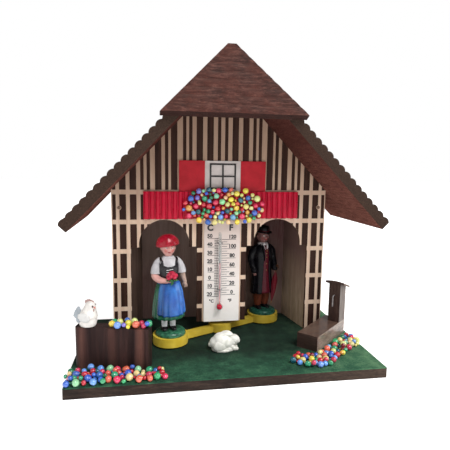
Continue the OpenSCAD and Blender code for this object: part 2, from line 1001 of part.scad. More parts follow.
// Post with its top rounded off under the cap
module fountain_post() {
    color("sienna")
    intersection() {
        on_trough()
        difference() {
            translate([trough_l - fount_t, 0, trough_h])
            cube([fount_t, fount_w, fount_h + 1]);
            spout_bore();
        }
        on_cap()
        translate([-fount_t, 0, -cap_r])
        rotate([0, 90, 0])
        cylinder(h = 4 * fount_t, r = cap_r, $fn = 128);
    }
}

spout_drop = 6.4;
spout_out = 2.4;

module spout_bore() {
    translate([trough_l - fount_t - 1, fount_w / 2, spout_z])
    rotate([0, 90, 0])
    cylinder(h = 3, r = spout_r + eps, $fn = 24);
}

// Wire out of the post, bent down over the trough
module fountain_spout() {
    bend = 1.2;
    color("silver")
    on_trough()
    translate([trough_l - fount_t, fount_w / 2, spout_z]) {
        translate([bend - spout_out, 0, 0])
        rotate([0, 90, 0])
        cylinder(h = spout_out - bend + 1.9, r = spout_r, $fn = 24);
        translate([bend - spout_out, 0, -bend])
        rotate([90, 0, 0])
        rotate([0, 0, 90])
        rotate_extrude(angle = 90)
        translate([bend, 0])
        circle(r = spout_r, $fn = 24);
        translate([-spout_out, 0, -spout_drop])
        cylinder(h = spout_drop - bend, r = spout_r, $fn = 24);
    }
}

// Thin bowed board on the post's sloping top
module fountain_cap() {
    front = 0.5;
    color("peru")
    on_cap()
    translate([-front, 0, eps])
    rotate([90, 0, 90])
    linear_extrude(fount_t / cos(cap_slope) + 2 * front)
    intersection() {
        translate([0, -cap_r])
        difference() {
            circle(r = cap_r + cap_t, $fn = 128);
            circle(r = cap_r, $fn = 128);
        }
        square(2 * cap_half, center = true);
    }
}

module rabbit() {
    color("white")
    translate([-1.6, y_edge + 33, z_top]) {
        limb([-2.8, 0, 4.9], 4.9, [1.5, 0, 4.5], 4.3);
        limb([4.6, -0.3, 6.4], 3, [5.8, -0.6, 5.6], 2.4);
        limb([5.4, -1.4, 1.5], 1.5, [6.9, -1.6, 1.5], 1.4);
        for (s = [-1, 1])
            limb([3.6, s * 1.2 - 0.2, 8.6], 0.9, [-0.6, s * 1.9, 9.2], 0.8);
        translate([-1, 0, 0])
        cylinder(h = 2, r = 2.6, $fn = 32);
    }
}

base_board();
grass_sheet();
front_panel();
timber_print();
left_side_wall();
right_side_wall();
back_wall();
left_roof();
right_roof();
hip_roof();
window_card();
window_bars();
left_shutter();
right_shutter();
balcony_rail();
balcony_flowers();
thermometer_card();
thermometer_tube();
thermometer_spirit();
tube_clips();
panel_nails();
gut_rail();
fluted_block();
hen();
block_flowers();
left_bed_flowers();
fountain_trough();
fountain_post();
fountain_cap();
fountain_spout();
right_bed_flowers();
rabbit();
adjusting_peg();
weather_beam();
gut_post();
gut_strand();
woman_figure();
man_figure();
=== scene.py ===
import math
import random
import bpy
import bmesh
from mathutils import Matrix, Vector, noise
from mathutils.bvhtree import BVHTree


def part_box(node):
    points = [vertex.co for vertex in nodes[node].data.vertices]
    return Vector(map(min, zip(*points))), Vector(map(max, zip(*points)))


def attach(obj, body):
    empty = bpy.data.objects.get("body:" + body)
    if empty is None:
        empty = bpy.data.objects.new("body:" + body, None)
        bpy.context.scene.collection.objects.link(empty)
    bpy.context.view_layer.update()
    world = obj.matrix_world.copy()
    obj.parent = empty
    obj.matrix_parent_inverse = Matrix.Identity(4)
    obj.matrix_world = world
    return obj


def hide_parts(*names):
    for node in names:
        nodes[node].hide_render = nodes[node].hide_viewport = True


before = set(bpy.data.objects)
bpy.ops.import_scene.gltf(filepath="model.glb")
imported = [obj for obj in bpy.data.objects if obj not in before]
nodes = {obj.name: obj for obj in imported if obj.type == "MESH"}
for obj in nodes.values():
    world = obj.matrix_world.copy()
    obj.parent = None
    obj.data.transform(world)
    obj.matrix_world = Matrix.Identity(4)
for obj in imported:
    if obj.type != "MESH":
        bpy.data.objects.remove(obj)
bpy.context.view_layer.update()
mm = 0.001  # everything below is written in millimetres
scene = bpy.context.scene
print("frame loaded,", len(nodes), "nodes")

photoCamera = {  # the photograph's viewpoint, in mm and radians
    "place": (-39.92, -240.53, 106.79),
    "yaw": 0.1636,
    "pitch": 0.1329,
    "roll": 0.0136,
    "focalPixels": 432.67,
    "framePixels": 450,
    "sensor": 36,
}


def makeCamera(view):
    yaw, pitch, roll = view["yaw"], view["pitch"], view["roll"]
    ahead = Vector((math.sin(yaw) * math.cos(pitch), math.cos(yaw) * math.cos(pitch), -math.sin(pitch)))
    right = Vector((math.cos(yaw), -math.sin(yaw), 0))
    up = right.cross(ahead)
    data = bpy.data.cameras.new("photoCamera")
    data.sensor_width = view["sensor"]
    data.sensor_fit = "HORIZONTAL"
    data.lens = view["sensor"] * view["focalPixels"] / view["framePixels"]
    camera = bpy.data.objects.new("photoCamera", data)
    scene.collection.objects.link(camera)
    axisX = right * math.cos(roll) + up * math.sin(roll)
    axisY = up * math.cos(roll) - right * math.sin(roll)
    turn = Matrix((axisX, axisY, -ahead)).transposed().to_4x4()
    camera.matrix_world = Matrix.Translation(Vector(view["place"]) * mm) @ turn
    scene.camera = camera


makeCamera(photoCamera)


# Small helpers for node trees
def put(tree, kind, inputs=None, **settings):
    node = tree.nodes.new(kind)
    for key, value in settings.items():
        setattr(node, key, value)
    for key, value in (inputs or {}).items():
        if isinstance(value, bpy.types.NodeSocket):
            tree.links.new(value, node.inputs[key])
        else:
            node.inputs[key].default_value = value
    return node


def linear(colour):  # a screen colour, 0 to 255, as the shaders want it
    def one(value):
        value /= 255
        return value / 12.92 if value <= 0.04045 else ((value + 0.055) / 1.055) ** 2.4
    return tuple(one(value) for value in colour) + (1,)


def ramp(tree, value, stops):
    node = put(tree, "ShaderNodeValToRGB", {"Fac": value})
    bands = node.color_ramp.elements
    for band, stop in ((bands[0], stops[0]), (bands[-1], stops[-1])):
        band.position, band.color = stop
    for position, colour in stops[1:-1]:
        bands.new(position).color = colour
    return node.outputs["Color"]


def spread(tree, value, low, high, toLow=0.0, toHigh=1.0):
    return put(tree, "ShaderNodeMapRange", {"Value": value, "From Min": low, "From Max": high,
                                            "To Min": toLow, "To Max": toHigh}).outputs["Result"]


def mixed(tree, share, first, second, way="MIX"):
    return put(tree, "ShaderNodeMix", {0: share, 6: first, 7: second}, data_type="RGBA",
               blend_type=way).outputs[2]


def sums(tree, operation, *values):
    return put(tree, "ShaderNodeMath", dict(enumerate(values)), operation=operation).outputs[0]


def times(tree, first, *others):
    for other in others:
        first = sums(tree, "MULTIPLY", first, other)
    return first


def part(tree, vector, axis):
    return put(tree, "ShaderNodeSeparateXYZ", {0: vector}).outputs[axis]


def along(tree, where, axis, ends):  # from 0 to 1 between two places on the object
    return spread(tree, part(tree, where["Object"], axis), *(end * mm for end in ends))


def towards(tree, normal, side, low, high):  # 1 where the surface faces that side
    facing = put(tree, "ShaderNodeVectorMath", {0: normal, 1: side}, operation="DOT_PRODUCT")
    return spread(tree, facing.outputs["Value"], low, high)


def cloud(tree, vector, scale, detail, roughness=0.5, distortion=0.0):
    return put(tree, "ShaderNodeTexNoise", {"Vector": vector, "Scale": scale, "Detail": detail,
                                            "Roughness": roughness, "Distortion": distortion}).outputs["Fac"]


def nodeGroup(name, kind, takes, gives):
    tree = bpy.data.node_groups.new(name, kind)
    for way, sockets in (("INPUT", takes), ("OUTPUT", gives)):
        for label, socket in sockets.items():
            tree.interface.new_socket(label, in_out=way, socket_type="NodeSocket" + socket)
    return tree, put(tree, "NodeGroupInput").outputs, put(tree, "NodeGroupOutput")


# Effects that several finishes share
def makeTimberGrain():
    tree, take, give = nodeGroup("timberGrain", "ShaderNodeTree",
                                 {"Vector": "Vector", "Stretch": "Vector", "Scale": "Float"},
                                 {"Streak": "Float", "Fibre": "Float", "Blotch": "Float"})
    drawn = put(tree, "ShaderNodeVectorMath", {0: take["Vector"], 1: take["Stretch"]},
                operation="MULTIPLY").outputs[0]
    clouds = {"Streak": cloud(tree, drawn, take["Scale"], 5, 0.6, 0.5),
              "Fibre": cloud(tree, drawn, times(tree, take["Scale"], 6.0), 2, 0.7),
              "Blotch": cloud(tree, take["Vector"], times(tree, take["Scale"], 0.14), 3, 0.55)}
    for label, value in clouds.items():
        tree.links.new(spread(tree, value, 0.3, 0.7), give.inputs[label])
    return tree


def makeBrushedPaint():
    tree, take, give = nodeGroup("brushedPaint", "ShaderNodeTree", {"Vector": "Vector", "Scale": "Float"},
                                 {"Tone": "Float", "Gloss": "Float", "Relief": "Float"})
    tone = cloud(tree, take["Vector"], take["Scale"], 4, 0.55)
    skin = cloud(tree, take["Vector"], times(tree, take["Scale"], 4.0), 3, 0.6)
    tree.links.new(spread(tree, tone, 0.3, 0.7), give.inputs["Tone"])
    tree.links.new(spread(tree, skin, 0.3, 0.7), give.inputs["Gloss"])
    tree.links.new(sums(tree, "ADD", tone, skin), give.inputs["Relief"])
    return tree


def makeSettledDust():
    tree, take, give = nodeGroup("settledDust", "ShaderNodeTree",
                                 {"Vector": "Vector", "Normal": "Vector", "Scale": "Float"},
                                 {"Mask": "Float"})
    flat = towards(tree, take["Normal"], (0, 0, 1), 0.35, 0.95)
    thin = spread(tree, cloud(tree, take["Vector"], take["Scale"], 4, 0.6), 0.42, 0.75)
    tree.links.new(times(tree, flat, thin), give.inputs["Mask"])
    return tree


timberGrain = makeTimberGrain()
brushedPaint = makeBrushedPaint()
settledDust = makeSettledDust()


# Finishes
def newFinish(name, **sockets):
    finish = bpy.data.materials.new(name)
    finish.use_nodes = True
    tree = finish.node_tree
    tree.nodes.clear()
    shader = put(tree, "ShaderNodeBsdfPrincipled", sockets)
    put(tree, "ShaderNodeOutputMaterial", {"Surface": shader.outputs[0]})
    where = put(tree, "ShaderNodeTexCoord").outputs
    return finish, tree, shader, where


def cover(tree, shader, colour, roughness):
    tree.links.new(colour, shader.inputs["Base Color"])
    tree.links.new(roughness, shader.inputs["Roughness"])


def relief(tree, shader, height, strength, depth):
    bump = put(tree, "ShaderNodeBump", {"Height": height, "Strength": strength, "Distance": depth * mm})
    tree.links.new(bump.outputs[0], shader.inputs["Normal"])


def grainOf(tree, where, look):
    return put(tree, "ShaderNodeGroup", {"Vector": where["Object"], "Stretch": look["stretch"],
                                         "Scale": look["scale"]}, node_tree=timberGrain).outputs


def paintOf(tree, where, scale):
    return put(tree, "ShaderNodeGroup", {"Vector": where["Object"], "Scale": scale},
               node_tree=brushedPaint).outputs


def stained(tree, grain, look):
    stops = ((0, "dark"), (0.5, "mid"), (1, "light"))
    return ramp(tree, grain["Streak"], [(position, linear(look[tone])) for position, tone in stops])


dullWood = {"Specular IOR Level": 0.12}
dustLook = {"scale": 90.0, "colour": (186, 172, 160)}
woodRelief = 0.15


def woodFinish(name, look):
    finish, tree, shader, where = newFinish(name, **look.get("sockets", dullWood))
    grain, normal = grainOf(tree, where, look), where["Normal"]

    def streaked(dark, light, lead="Streak"):
        return mixed(tree, grain[lead], linear(dark), linear(light))

    def sideways(low, high):
        return spread(tree, sums(tree, "ABSOLUTE", part(tree, normal, "Y")), low, high)
    colour = mixed(tree, times(tree, grain["Blotch"], look["blotch"]), stained(tree, grain, look),
                   linear(look["tint"]))
    if "under" in look:  # stained redder where it faces down
        below = towards(tree, normal, (0, 0, -1), 0.2, 0.45)
        colour = mixed(tree, below, colour, streaked(look["underDark"], look["under"]))
    if "ends" in look:  # sawn end grain towards the front and the back
        colour = mixed(tree, sideways(0.85, 0.97), colour, streaked(*look["ends"], "Fibre"))
    for key, side in (("paler", look.get("palerSide")), ("top", (0, 0, 1))):  # a paler side and top: bare board on the back wall's outer face; painted light on the paler sides of the trough, post, cap and right wall and on the lighter tops of the trough and post
        if key in look:
            bareAndLitFace = towards(tree, normal, side, 0.8, 0.95)
            wood = streaked(look[key], look.get(key + "Light", look["light"]))
            colour = mixed(tree, bareAndLitFace, colour, wood)
    for patch in look.get("patches", ()):  # painted shade and light by place: darker under the roof and inside the rooms, paler at the base's right end
        masks = [along(tree, where, axis, patch[axis]) for axis in "XZ" if axis in patch]
        if "side" in patch:
            masks.append(towards(tree, normal, patch["side"], 0.5, 0.8))
        colour = mixed(tree, times(tree, *masks), colour, linear(patch["tone"]))
    if "cut" in look:  # darker on the sawn edges of the sheet
        colour = mixed(tree, sideways(0.7, 0.5), colour, linear(look["cut"]))
    pores = times(tree, spread(tree, grain["Fibre"], 0.75, 0.1), look["pores"])
    colour = mixed(tree, pores, colour, linear(look["dark"]))
    if "dust" in look:
        dust = put(tree, "ShaderNodeGroup",
                   {"Vector": where["Object"], "Normal": normal, "Scale": dustLook["scale"]},
                   node_tree=settledDust).outputs["Mask"]
        colour = mixed(tree, times(tree, dust, look["dust"]), colour, linear(dustLook["colour"]))
    cover(tree, shader, colour, spread(tree, grain["Fibre"], 0, 1, *look["rough"]))
    relief(tree, shader, sums(tree, "ADD", grain["Fibre"], grain["Streak"]), look["bump"], woodRelief)
    return finish


def paintFinish(name, look):
    finish, tree, shader, where = newFinish(name, **look.get("sockets", {}))
    paint = paintOf(tree, where, look["scale"])
    if "attribute" in look:
        own = put(tree, "ShaderNodeAttribute", attribute_name=look["attribute"]).outputs["Color"]
        shade = mixed(tree, times(tree, paint["Tone"], look["shade"]), own, linear(look["tint"]), "MULTIPLY")
    else:
        shade = mixed(tree, paint["Tone"], linear(look["dark"]), linear(look["light"]))
    if "paintedShadeX" in look:  # painted shade: darker from the woman's pad towards the house
        shadeShare = along(tree, where, "X", look["paintedShadeX"])
        shade = mixed(tree, shadeShare, shade, linear(look["paintedShadeTint"]), "MULTIPLY")
    if "paintedLightOrThinRamp" in look:  # another tone higher up: painted shade at the top of the scale card; on the spirit, paler where the column is thin
        shade = mixed(tree, along(tree, where, "Z", look["paintedLightOrThinRamp"]), shade, linear(look["paintedLightOrThinTone"]))
    cover(tree, shader, shade, spread(tree, paint["Gloss"], 0, 1, *look["rough"]))
    relief(tree, shader, paint["Relief"], look["bump"], look.get("depth", 0.1))
    return finish


alongZ = (1, 1, 0.07)
woods = {
    "sideRoofWood": {"stretch": (1, 0.16, 1), "scale": 760.0, "dark": (38, 22, 19), "mid": (74, 45, 39),
                     "light": (112, 74, 62), "tint": (94, 42, 32), "blotch": 0.6, "pores": 0.6,
                     "under": (140, 90, 79), "underDark": (92, 59, 52), "ends": ((46, 43, 38), (74, 57, 49)),
                     # painted shade: the underside darker high up under the roof
                     "patches": ({"Z": (94, 122), "side": (0, 0, -1), "tone": (62, 31, 29)},),
                     "sockets": {"Specular IOR Level": 0.0}, "rough": (0.5, 0.75), "bump": 0.5, "dust": 0.08},
    "hipRoofWood": {"stretch": (0.24, 1, 1), "scale": 760.0, "dark": (30, 18, 16), "mid": (69, 45, 40),
                    "light": (114, 78, 69), "tint": (92, 47, 37), "blotch": 0.55, "pores": 0.6,
                    "under": (64, 40, 35), "underDark": (40, 26, 24),
                    "rough": (0.5, 0.75), "bump": 0.5, "dust": 0.08},
    "panelPlywood": {"stretch": (1, 1, 0.05), "scale": 420.0, "dark": (198, 168, 146), "mid": (216, 190, 168),
                     "light": (228, 206, 186), "tint": (206, 178, 154), "blotch": 0.4, "pores": 0.25,
                     # painted shade: the panel darker high up under the roof
                     "patches": ({"Z": (72, 112), "tone": (162, 134, 114)},), "cut": (62, 36, 18),
                     "rough": (0.5, 0.68), "bump": 0.15},
    "timberInk": {"stretch": (1, 1, 0.05), "scale": 420.0, "dark": (34, 21, 16), "mid": (50, 31, 24),
                  "light": (68, 44, 35), "tint": (58, 33, 25), "blotch": 0.4, "pores": 0.3,
                  "rough": (0.5, 0.65), "bump": 0.15},
    "sideWallWood": {"stretch": alongZ, "scale": 260.0, "dark": (84, 66, 57), "mid": (106, 86, 76),
                     "light": (126, 104, 92), "tint": (98, 77, 67), "blotch": 0.5, "pores": 0.35,
                     "rough": (0.5, 0.7), "bump": 0.35},
    "backWallWood": {"stretch": alongZ, "scale": 260.0, "dark": (124, 103, 95), "mid": (144, 121, 112),
                     "light": (160, 137, 127), "tint": (138, 112, 103), "blotch": 0.5, "pores": 0.4,
                     "paler": (146, 116, 88), "palerLight": (184, 152, 120), "palerSide": (0, 1, 0),
                     # painted shade: the inside face darker at the upper right and at the lower left
                     "patches": ({"X": (4, 26), "Z": (20, 60), "side": (0, -1, 0), "tone": (92, 60, 59)},
                                 {"X": (-20, -34), "Z": (48, 34), "side": (0, -1, 0), "tone": (102, 78, 74)}),
                     "rough": (0.55, 0.75), "bump": 0.3},
    "baseWood": {"stretch": (0.2, 1, 1), "scale": 420.0, "dark": (26, 20, 18), "mid": (46, 37, 33),
                 "light": (72, 58, 50), "tint": (56, 40, 32), "blotch": 0.5, "pores": 0.6,
                 # painted light: the front face paler towards the right end
                 "patches": ({"X": (20, 120), "side": (0, -1, 0), "tone": (88, 72, 61)},),
                 "rough": (0.5, 0.72), "bump": 0.35},
    "railWood": {"stretch": (1, 0.07, 1), "scale": 300.0, "dark": (156, 124, 96), "mid": (190, 158, 126),
                 "light": (212, 184, 152), "tint": (178, 144, 112), "blotch": 0.4, "pores": 0.35,
                 "rough": (0.55, 0.72), "bump": 0.3},
    "troughWood": {"stretch": (0.16, 0.16, 1), "scale": 300.0, "dark": (40, 28, 26), "mid": (62, 46, 41),
                   "light": (86, 67, 59), "tint": (70, 46, 39), "blotch": 0.5, "pores": 0.5,
                   # painted light: the right-facing side paler; the lighter top is a painted reflection
                   "paler": (184, 164, 148), "palerSide": (0.69, -0.73, 0), "top": (106, 82, 69),
                   "sockets": {"Coat Weight": 0.45, "Coat Roughness": 0.12, "Specular IOR Level": 0.2},
                   "rough": (0.34, 0.55), "bump": 0.2},
    "capWood": {"stretch": (0.2, 0.2, 1), "scale": 320.0, "dark": (40, 29, 27), "mid": (66, 49, 44),
                "light": (96, 76, 68), "tint": (74, 50, 43), "blotch": 0.5, "pores": 0.45,
                # painted light: the right-facing side paler
                "paler": (128, 112, 102), "palerSide": (0.69, -0.73, 0),
                "rough": (0.4, 0.6), "bump": 0.35},
}
# painted light: the post's right-facing side paler, and its top lighter as on the trough
woods["postWood"] = dict(woods["troughWood"], stretch=(1, 1, 0.12), paler=(128, 120, 114), sockets=dullWood)
# painted light: the right wall's inner face paler than the left wall's; painted shade: darker higher up on it
woods["rightWallWoodPaintedLight"] = dict(woods["sideWallWood"], paler=(174, 148, 122), palerLight=(212, 187, 160),
                                  palerSide=(-1, 0, 0),
                                  patches=({"Z": (16, 56), "side": (-1, 0, 0), "tone": (113, 87, 80)},))
finishes = {name: woodFinish(name, look) for name, look in woods.items()}

lacquer = {"Coat Weight": 0.15, "Coat Roughness": 0.15, "Specular IOR Level": 0.3}
satin = {"Specular IOR Level": 0.2}
paints = {
    "shutterRed": {"dark": (158, 20, 32), "light": (186, 32, 45), "scale": 160.0, "rough": (0.4, 0.58),
                   "bump": 0.25, "sockets": satin},
    "balconyRed": {"dark": (172, 4, 40), "light": (196, 14, 52), "scale": 140.0, "rough": (0.26, 0.4),
                   "bump": 0.15, "sockets": {"Coat Weight": 0.1, "Coat Roughness": 0.15,
                                             "Specular IOR Level": 0.15}},
    "windowWhite": {"dark": (186, 176, 172), "light": (206, 196, 192), "scale": 200.0, "rough": (0.4, 0.55),
                    "bump": 0.1},
    "barBlack": {"dark": (26, 22, 22), "light": (44, 37, 36), "scale": 200.0, "rough": (0.35, 0.5),
                 "bump": 0.1},
    # painted shade: darker towards the top
    "scaleCard": {"dark": (242, 238, 233), "light": (252, 249, 245), "paintedLightOrThinRamp": (14, 70),
                  "paintedLightOrThinTone": (199, 181, 173), "scale": 120.0, "rough": (0.35, 0.5), "bump": 0.08},
    # painted shade: darker towards the house
    "beamYellow": {"dark": (216, 184, 54), "light": (242, 214, 82), "paintedShadeX": (-30, -12),
                   "paintedShadeTint": (206, 204, 204), "scale": 130.0, "rough": (0.28, 0.42), "bump": 0.15,
                   "sockets": lacquer},
    "redSpirit": {"dark": (226, 18, 48), "light": (242, 38, 66), "paintedLightOrThinRamp": (24.4, 27.0),
                  "paintedLightOrThinTone": (243, 186, 186), "scale": 300.0, "rough": (0.12, 0.2), "bump": 0.05},
    "printBlack": {"dark": (22, 20, 21), "light": (38, 35, 36), "scale": 500.0, "rough": (0.4, 0.55),
                   "bump": 0.05},
    "pegBrass": {"dark": (176, 138, 64), "light": (214, 178, 98), "scale": 300.0, "rough": (0.22, 0.42),
                 "bump": 0.15, "sockets": {"Metallic": 1.0}},
    "brightSteel": {"dark": (150, 150, 152), "light": (205, 204, 202), "scale": 400.0, "rough": (0.2, 0.4),
                    "bump": 0.15, "sockets": {"Metallic": 1.0}},
    "dullSteel": {"dark": (112, 106, 106), "light": (164, 158, 158), "scale": 400.0, "rough": (0.4, 0.6),
                  "bump": 0.15, "sockets": {"Metallic": 0.5}},
    "rustyBrad": {"dark": (98, 77, 64), "light": (138, 112, 96), "scale": 500.0, "rough": (0.5, 0.7),
                  "bump": 0.2, "sockets": satin},
    "gutTan": {"dark": (186, 158, 108), "light": (222, 200, 152), "scale": 500.0, "rough": (0.35, 0.5),
               "bump": 0.3, "sockets": {"Subsurface Weight": 0.2, "Subsurface Scale": 0.0006}},
    "beadGlass": {"attribute": "beadColor", "tint": (214, 214, 222), "shade": 0.5, "scale": 420.0,
                  "rough": (0.1, 0.22), "bump": 0.06,
                  "sockets": {"Coat Weight": 0.8, "Coat Roughness": 0.05}},
    "figurePaint": {"attribute": "paint", "tint": (186, 182, 186), "shade": 0.6, "scale": 330.0,
                    "rough": (0.22, 0.4), "bump": 0.3, "depth": 0.14,
                    "sockets": {"Coat Weight": 0.28, "Coat Roughness": 0.1, "Specular IOR Level": 0.22}},
    "animalGlaze": {"attribute": "paint", "tint": (206, 204, 206), "shade": 0.6, "scale": 300.0,
                    "rough": (0.22, 0.4), "bump": 0.25, "depth": 0.14, "sockets": lacquer},
}
paints["shadedPaint"] = dict(paints["figurePaint"], sockets={"Coat Weight": 0.1, "Coat Roughness": 0.2,
                                                             "Specular IOR Level": 0.1})
finishes.update({name: paintFinish(name, look) for name, look in paints.items()})

flockLook = {
    "greens": {0.34: (20, 50, 38), 0.5: (44, 90, 66), 0.68: (92, 132, 96)},
    "clump": 140.0,
    "tuft": 1500.0,
    "paintedLightOrThinRamp": (24, 76),  # painted light: paler towards the right
    "paintedLightTones": (-0.06, 0.1),
    "houseShadeY": (-32, -16),  # painted shade: darker beside the house
    "open": (76, 50),
    "houseShadeTint": (150, 144, 147),
    "rough": (0.75, 0.95),
    "bump": 0.9,
    "pile": 0.5,
    "sockets": {"Sheen Weight": 0.04, "Specular IOR Level": 0.1},
}


def flockFinish(look):
    finish, tree, shader, where = newFinish("grassFlock", **look["sockets"])
    clump = cloud(tree, where["Object"], look["clump"], 5, 0.65)
    tuft = cloud(tree, where["Object"], look["tuft"], 3, 0.8)
    tone = sums(tree, "ADD", times(tree, clump, 0.5), times(tree, tuft, 0.5))
    across = part(tree, where["Object"], "X")
    # painted light: paler towards the right
    paintedLightShift = spread(tree, across, *(x * mm for x in look["paintedLightOrThinRamp"]), *look["paintedLightTones"])
    colour = ramp(tree, sums(tree, "ADD", tone, paintedLightShift),
                  [(position, linear(green)) for position, green in look["greens"].items()])
    # painted shade: darker beside the house
    houseShade = times(tree, along(tree, where, "Y", look["houseShadeY"]), along(tree, where, "X", look["open"]))
    colour = mixed(tree, houseShade, colour, linear(look["houseShadeTint"]), "MULTIPLY")
    cover(tree, shader, colour, spread(tree, tuft, 0.2, 0.8, *look["rough"]))
    relief(tree, shader, tone, look["bump"], look["pile"])
    return finish


glassLook = {"clear": (246, 250, 250), "smear": (226, 232, 234), "scale": 220.0, "rough": (0.01, 0.06),
             "sockets": {"Transmission Weight": 1.0, "IOR": 1.08}}


def glassFinish(look):
    finish, tree, shader, where = newFinish("tubeGlass", **look["sockets"])
    paint = paintOf(tree, where, look["scale"])
    colour = mixed(tree, paint["Tone"], linear(look["clear"]), linear(look["smear"]))
    cover(tree, shader, colour, spread(tree, paint["Gloss"], 0, 1, *look["rough"]))
    return finish


blockLook = {  # stained wood, paler on the ridges between the flutes: partly rubbed wear, partly painted highlight
    "corner": (-79.9, -24.8),
    "turn": -12.5,
    "length": 37.5,
    "ridges": {0.095: (0.035, 0.8), 0.505: (0.05, 0.5), 0.885: (0.045, 1.0)},  # place: half width, paleness
    "soft": 0.03,
    "wobble": 0.02,
    "dark": (34, 23, 23),
    "mid": (50, 34, 32),
    "light": (68, 46, 43),
    "rubbedAndLit": (106, 70, 61),
    "stretch": alongZ,
    "scale": 300.0,
    "rough": (0.45, 0.7),
    "bump": 0.35,
}


def blockFinish(look):
    finish, tree, shader, where = newFinish("blockWood", **dullWood)
    grain = grainOf(tree, where, look)
    corner = [-spot * mm for spot in look["corner"]] + [0]
    moved = put(tree, "ShaderNodeMapping", {"Vector": where["Object"], "Location": corner})
    level = put(tree, "ShaderNodeMapping", {"Vector": moved.outputs[0],
                                            "Rotation": (0, 0, -math.radians(look["turn"])),
                                            "Scale": (1 / (look["length"] * mm),) * 3})
    wobble = times(tree, sums(tree, "SUBTRACT", grain["Streak"], 0.5), look["wobble"])
    share = sums(tree, "ADD", part(tree, level.outputs[0], "X"), wobble)
    # ridges paler: partly rubbed wear, partly painted highlight
    ridgeShare = None
    for ridge, (half, ridgePaleness) in look["ridges"].items():
        off = sums(tree, "ABSOLUTE", sums(tree, "SUBTRACT", share, ridge))
        near = spread(tree, off, half + look["soft"], half - look["soft"], 0, ridgePaleness)
        ridgeShare = near if ridgeShare is None else sums(tree, "MAXIMUM", ridgeShare, near)
    ridgeShare = times(tree, ridgeShare, spread(tree, grain["Blotch"], 0, 1, 0.45, 1.0))
    colour = mixed(tree, ridgeShare, stained(tree, grain, look), linear(look["rubbedAndLit"]))
    cover(tree, shader, colour, spread(tree, grain["Fibre"], 0, 1, *look["rough"]))
    relief(tree, shader, grain["Fibre"], look["bump"], woodRelief)
    return finish


finishes["grassFlock"] = flockFinish(flockLook)
finishes["tubeGlass"] = glassFinish(glassLook)
finishes["blockWood"] = blockFinish(blockLook)
print("finishes made:", len(finishes))

nodeFinish = {
    "base_board": "baseWood", "grass_sheet": "grassFlock", "front_panel": "panelPlywood",
    "timber_print": "timberInk", "left_side_wall": "sideWallWood", "right_side_wall": "rightWallWoodPaintedLight",
    "back_wall": "backWallWood", "left_roof": "sideRoofWood", "right_roof": "sideRoofWood",
    "hip_roof": "hipRoofWood", "window_card": "windowWhite", "window_bars": "barBlack",
    "left_shutter": "shutterRed", "right_shutter": "shutterRed", "balcony_rail": "balconyRed",
    "balcony_flowers": "beadGlass", "thermometer_card": "scaleCard", "thermometer_tube": "tubeGlass",
    "thermometer_spirit": "redSpirit", "tube_clips": "brightSteel", "panel_nails": "rustyBrad",
    "gut_rail": "railWood", "fluted_block": "blockWood", "hen": "animalGlaze",
    "block_flowers": "beadGlass", "left_bed_flowers": "beadGlass", "fountain_trough": "troughWood",
    "fountain_post": "postWood", "fountain_cap": "capWood", "fountain_spout": "dullSteel",
    "right_bed_flowers": "beadGlass", "rabbit": "animalGlaze", "adjusting_peg": "pegBrass",
    "weather_beam": "beamYellow", "gut_post": "pegBrass", "gut_strand": "gutTan",
    "woman_figure": "figurePaint", "man_figure": "shadedPaint",
}
for name, finish in nodeFinish.items():
    slots = nodes[name].data.materials
    slots.clear()
    slots.append(finishes[finish])


# Geometry Nodes: a tree is run on a start mesh and comes back as a plain mesh
def runTree(name, tree, values, start=None):
    holder = bpy.data.objects.new(name, start or bpy.data.meshes.new(name))
    scene.collection.objects.link(holder)
    modifier = holder.modifiers.new("tree", "NODES")
    modifier.node_group = tree
    sockets = {item.name: item.identifier for item in tree.interface.items_tree
               if item.item_type == "SOCKET" and item.in_out == "INPUT"}
    for label, value in values.items():
        modifier[sockets[label]] = value
    graph = bpy.context.evaluated_depsgraph_get()
    mesh = bpy.data.meshes.new_from_object(holder.evaluated_get(graph), preserve_all_data_layers=True,
                                           depsgraph=graph)
    holder.modifiers.remove(modifier)
    bpy.data.objects.remove(holder)
    return mesh


def place(name, mesh, body, slot, *stoodFor):
    piece = bpy.data.objects.new(name, mesh)
    scene.collection.objects.link(piece)
    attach(piece, body)
    if stoodFor:
        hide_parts(*stoodFor)


# Flower beads: a pierced ball on every bead of the bed
beadLook = {
    "sides": 12,
    "rings": 7,
    "dimple": 0.16,
    "seed": 5,
    "colours": {
        "blue": (62, 108, 204), "sky": (112, 164, 228), "teal": (26, 98, 112), "green": (52, 164, 112),
        "leaf": (30, 116, 74), "mint": (150, 214, 168), "pink": (222, 58, 96), "red": (208, 40, 58),
        "wine": (138, 24, 44), "yellow": (244, 216, 84), "lemon": (236, 228, 146), "cream": (240, 210, 146),
        "coral": (236, 108, 84), "amber": (238, 168, 82), "lilac": (124, 118, 200),
    },
    "shares": {  # a colour is drawn from its bed's list
        "balconyFlowers": "blue blue sky teal green green leaf mint pink pink pink red red coral yellow "
                          "yellow lemon lemon cream amber lilac",
        "blockFlowers": "blue sky green green mint pink lemon lemon yellow coral lilac",
        "leftBedFlowers": "blue blue blue sky teal green green green leaf mint pink pink pink pink red red "
                          "coral coral lemon cream",
        "rightBedFlowers": "blue blue sky sky teal green green leaf mint pink red wine coral coral yellow "
                           "lemon lemon cream amber lilac",
    },
    "small": {  # how many small beads fill the gaps, and what carries the bed
        "balconyFlowers": (70, "balcony_rail"), "blockFlowers": (10, "fluted_block"),
        "leftBedFlowers": (60, "grass_sheet"), "rightBedFlowers": (45, "grass_sheet"),
    },
    "smallRadii": (0.75, 1.3),
    "reach": (0.8, 1.3),  # from the bead beside it, in shares of touching
    "overlap": 0.05,
    "close": 1.2,
    "others": 4,  # so many beads have to be that close
    "rest": 0.3,  # how far off its carrier it may end
    "tries": 9000,
    "vary": (0.85, 1.12),
}


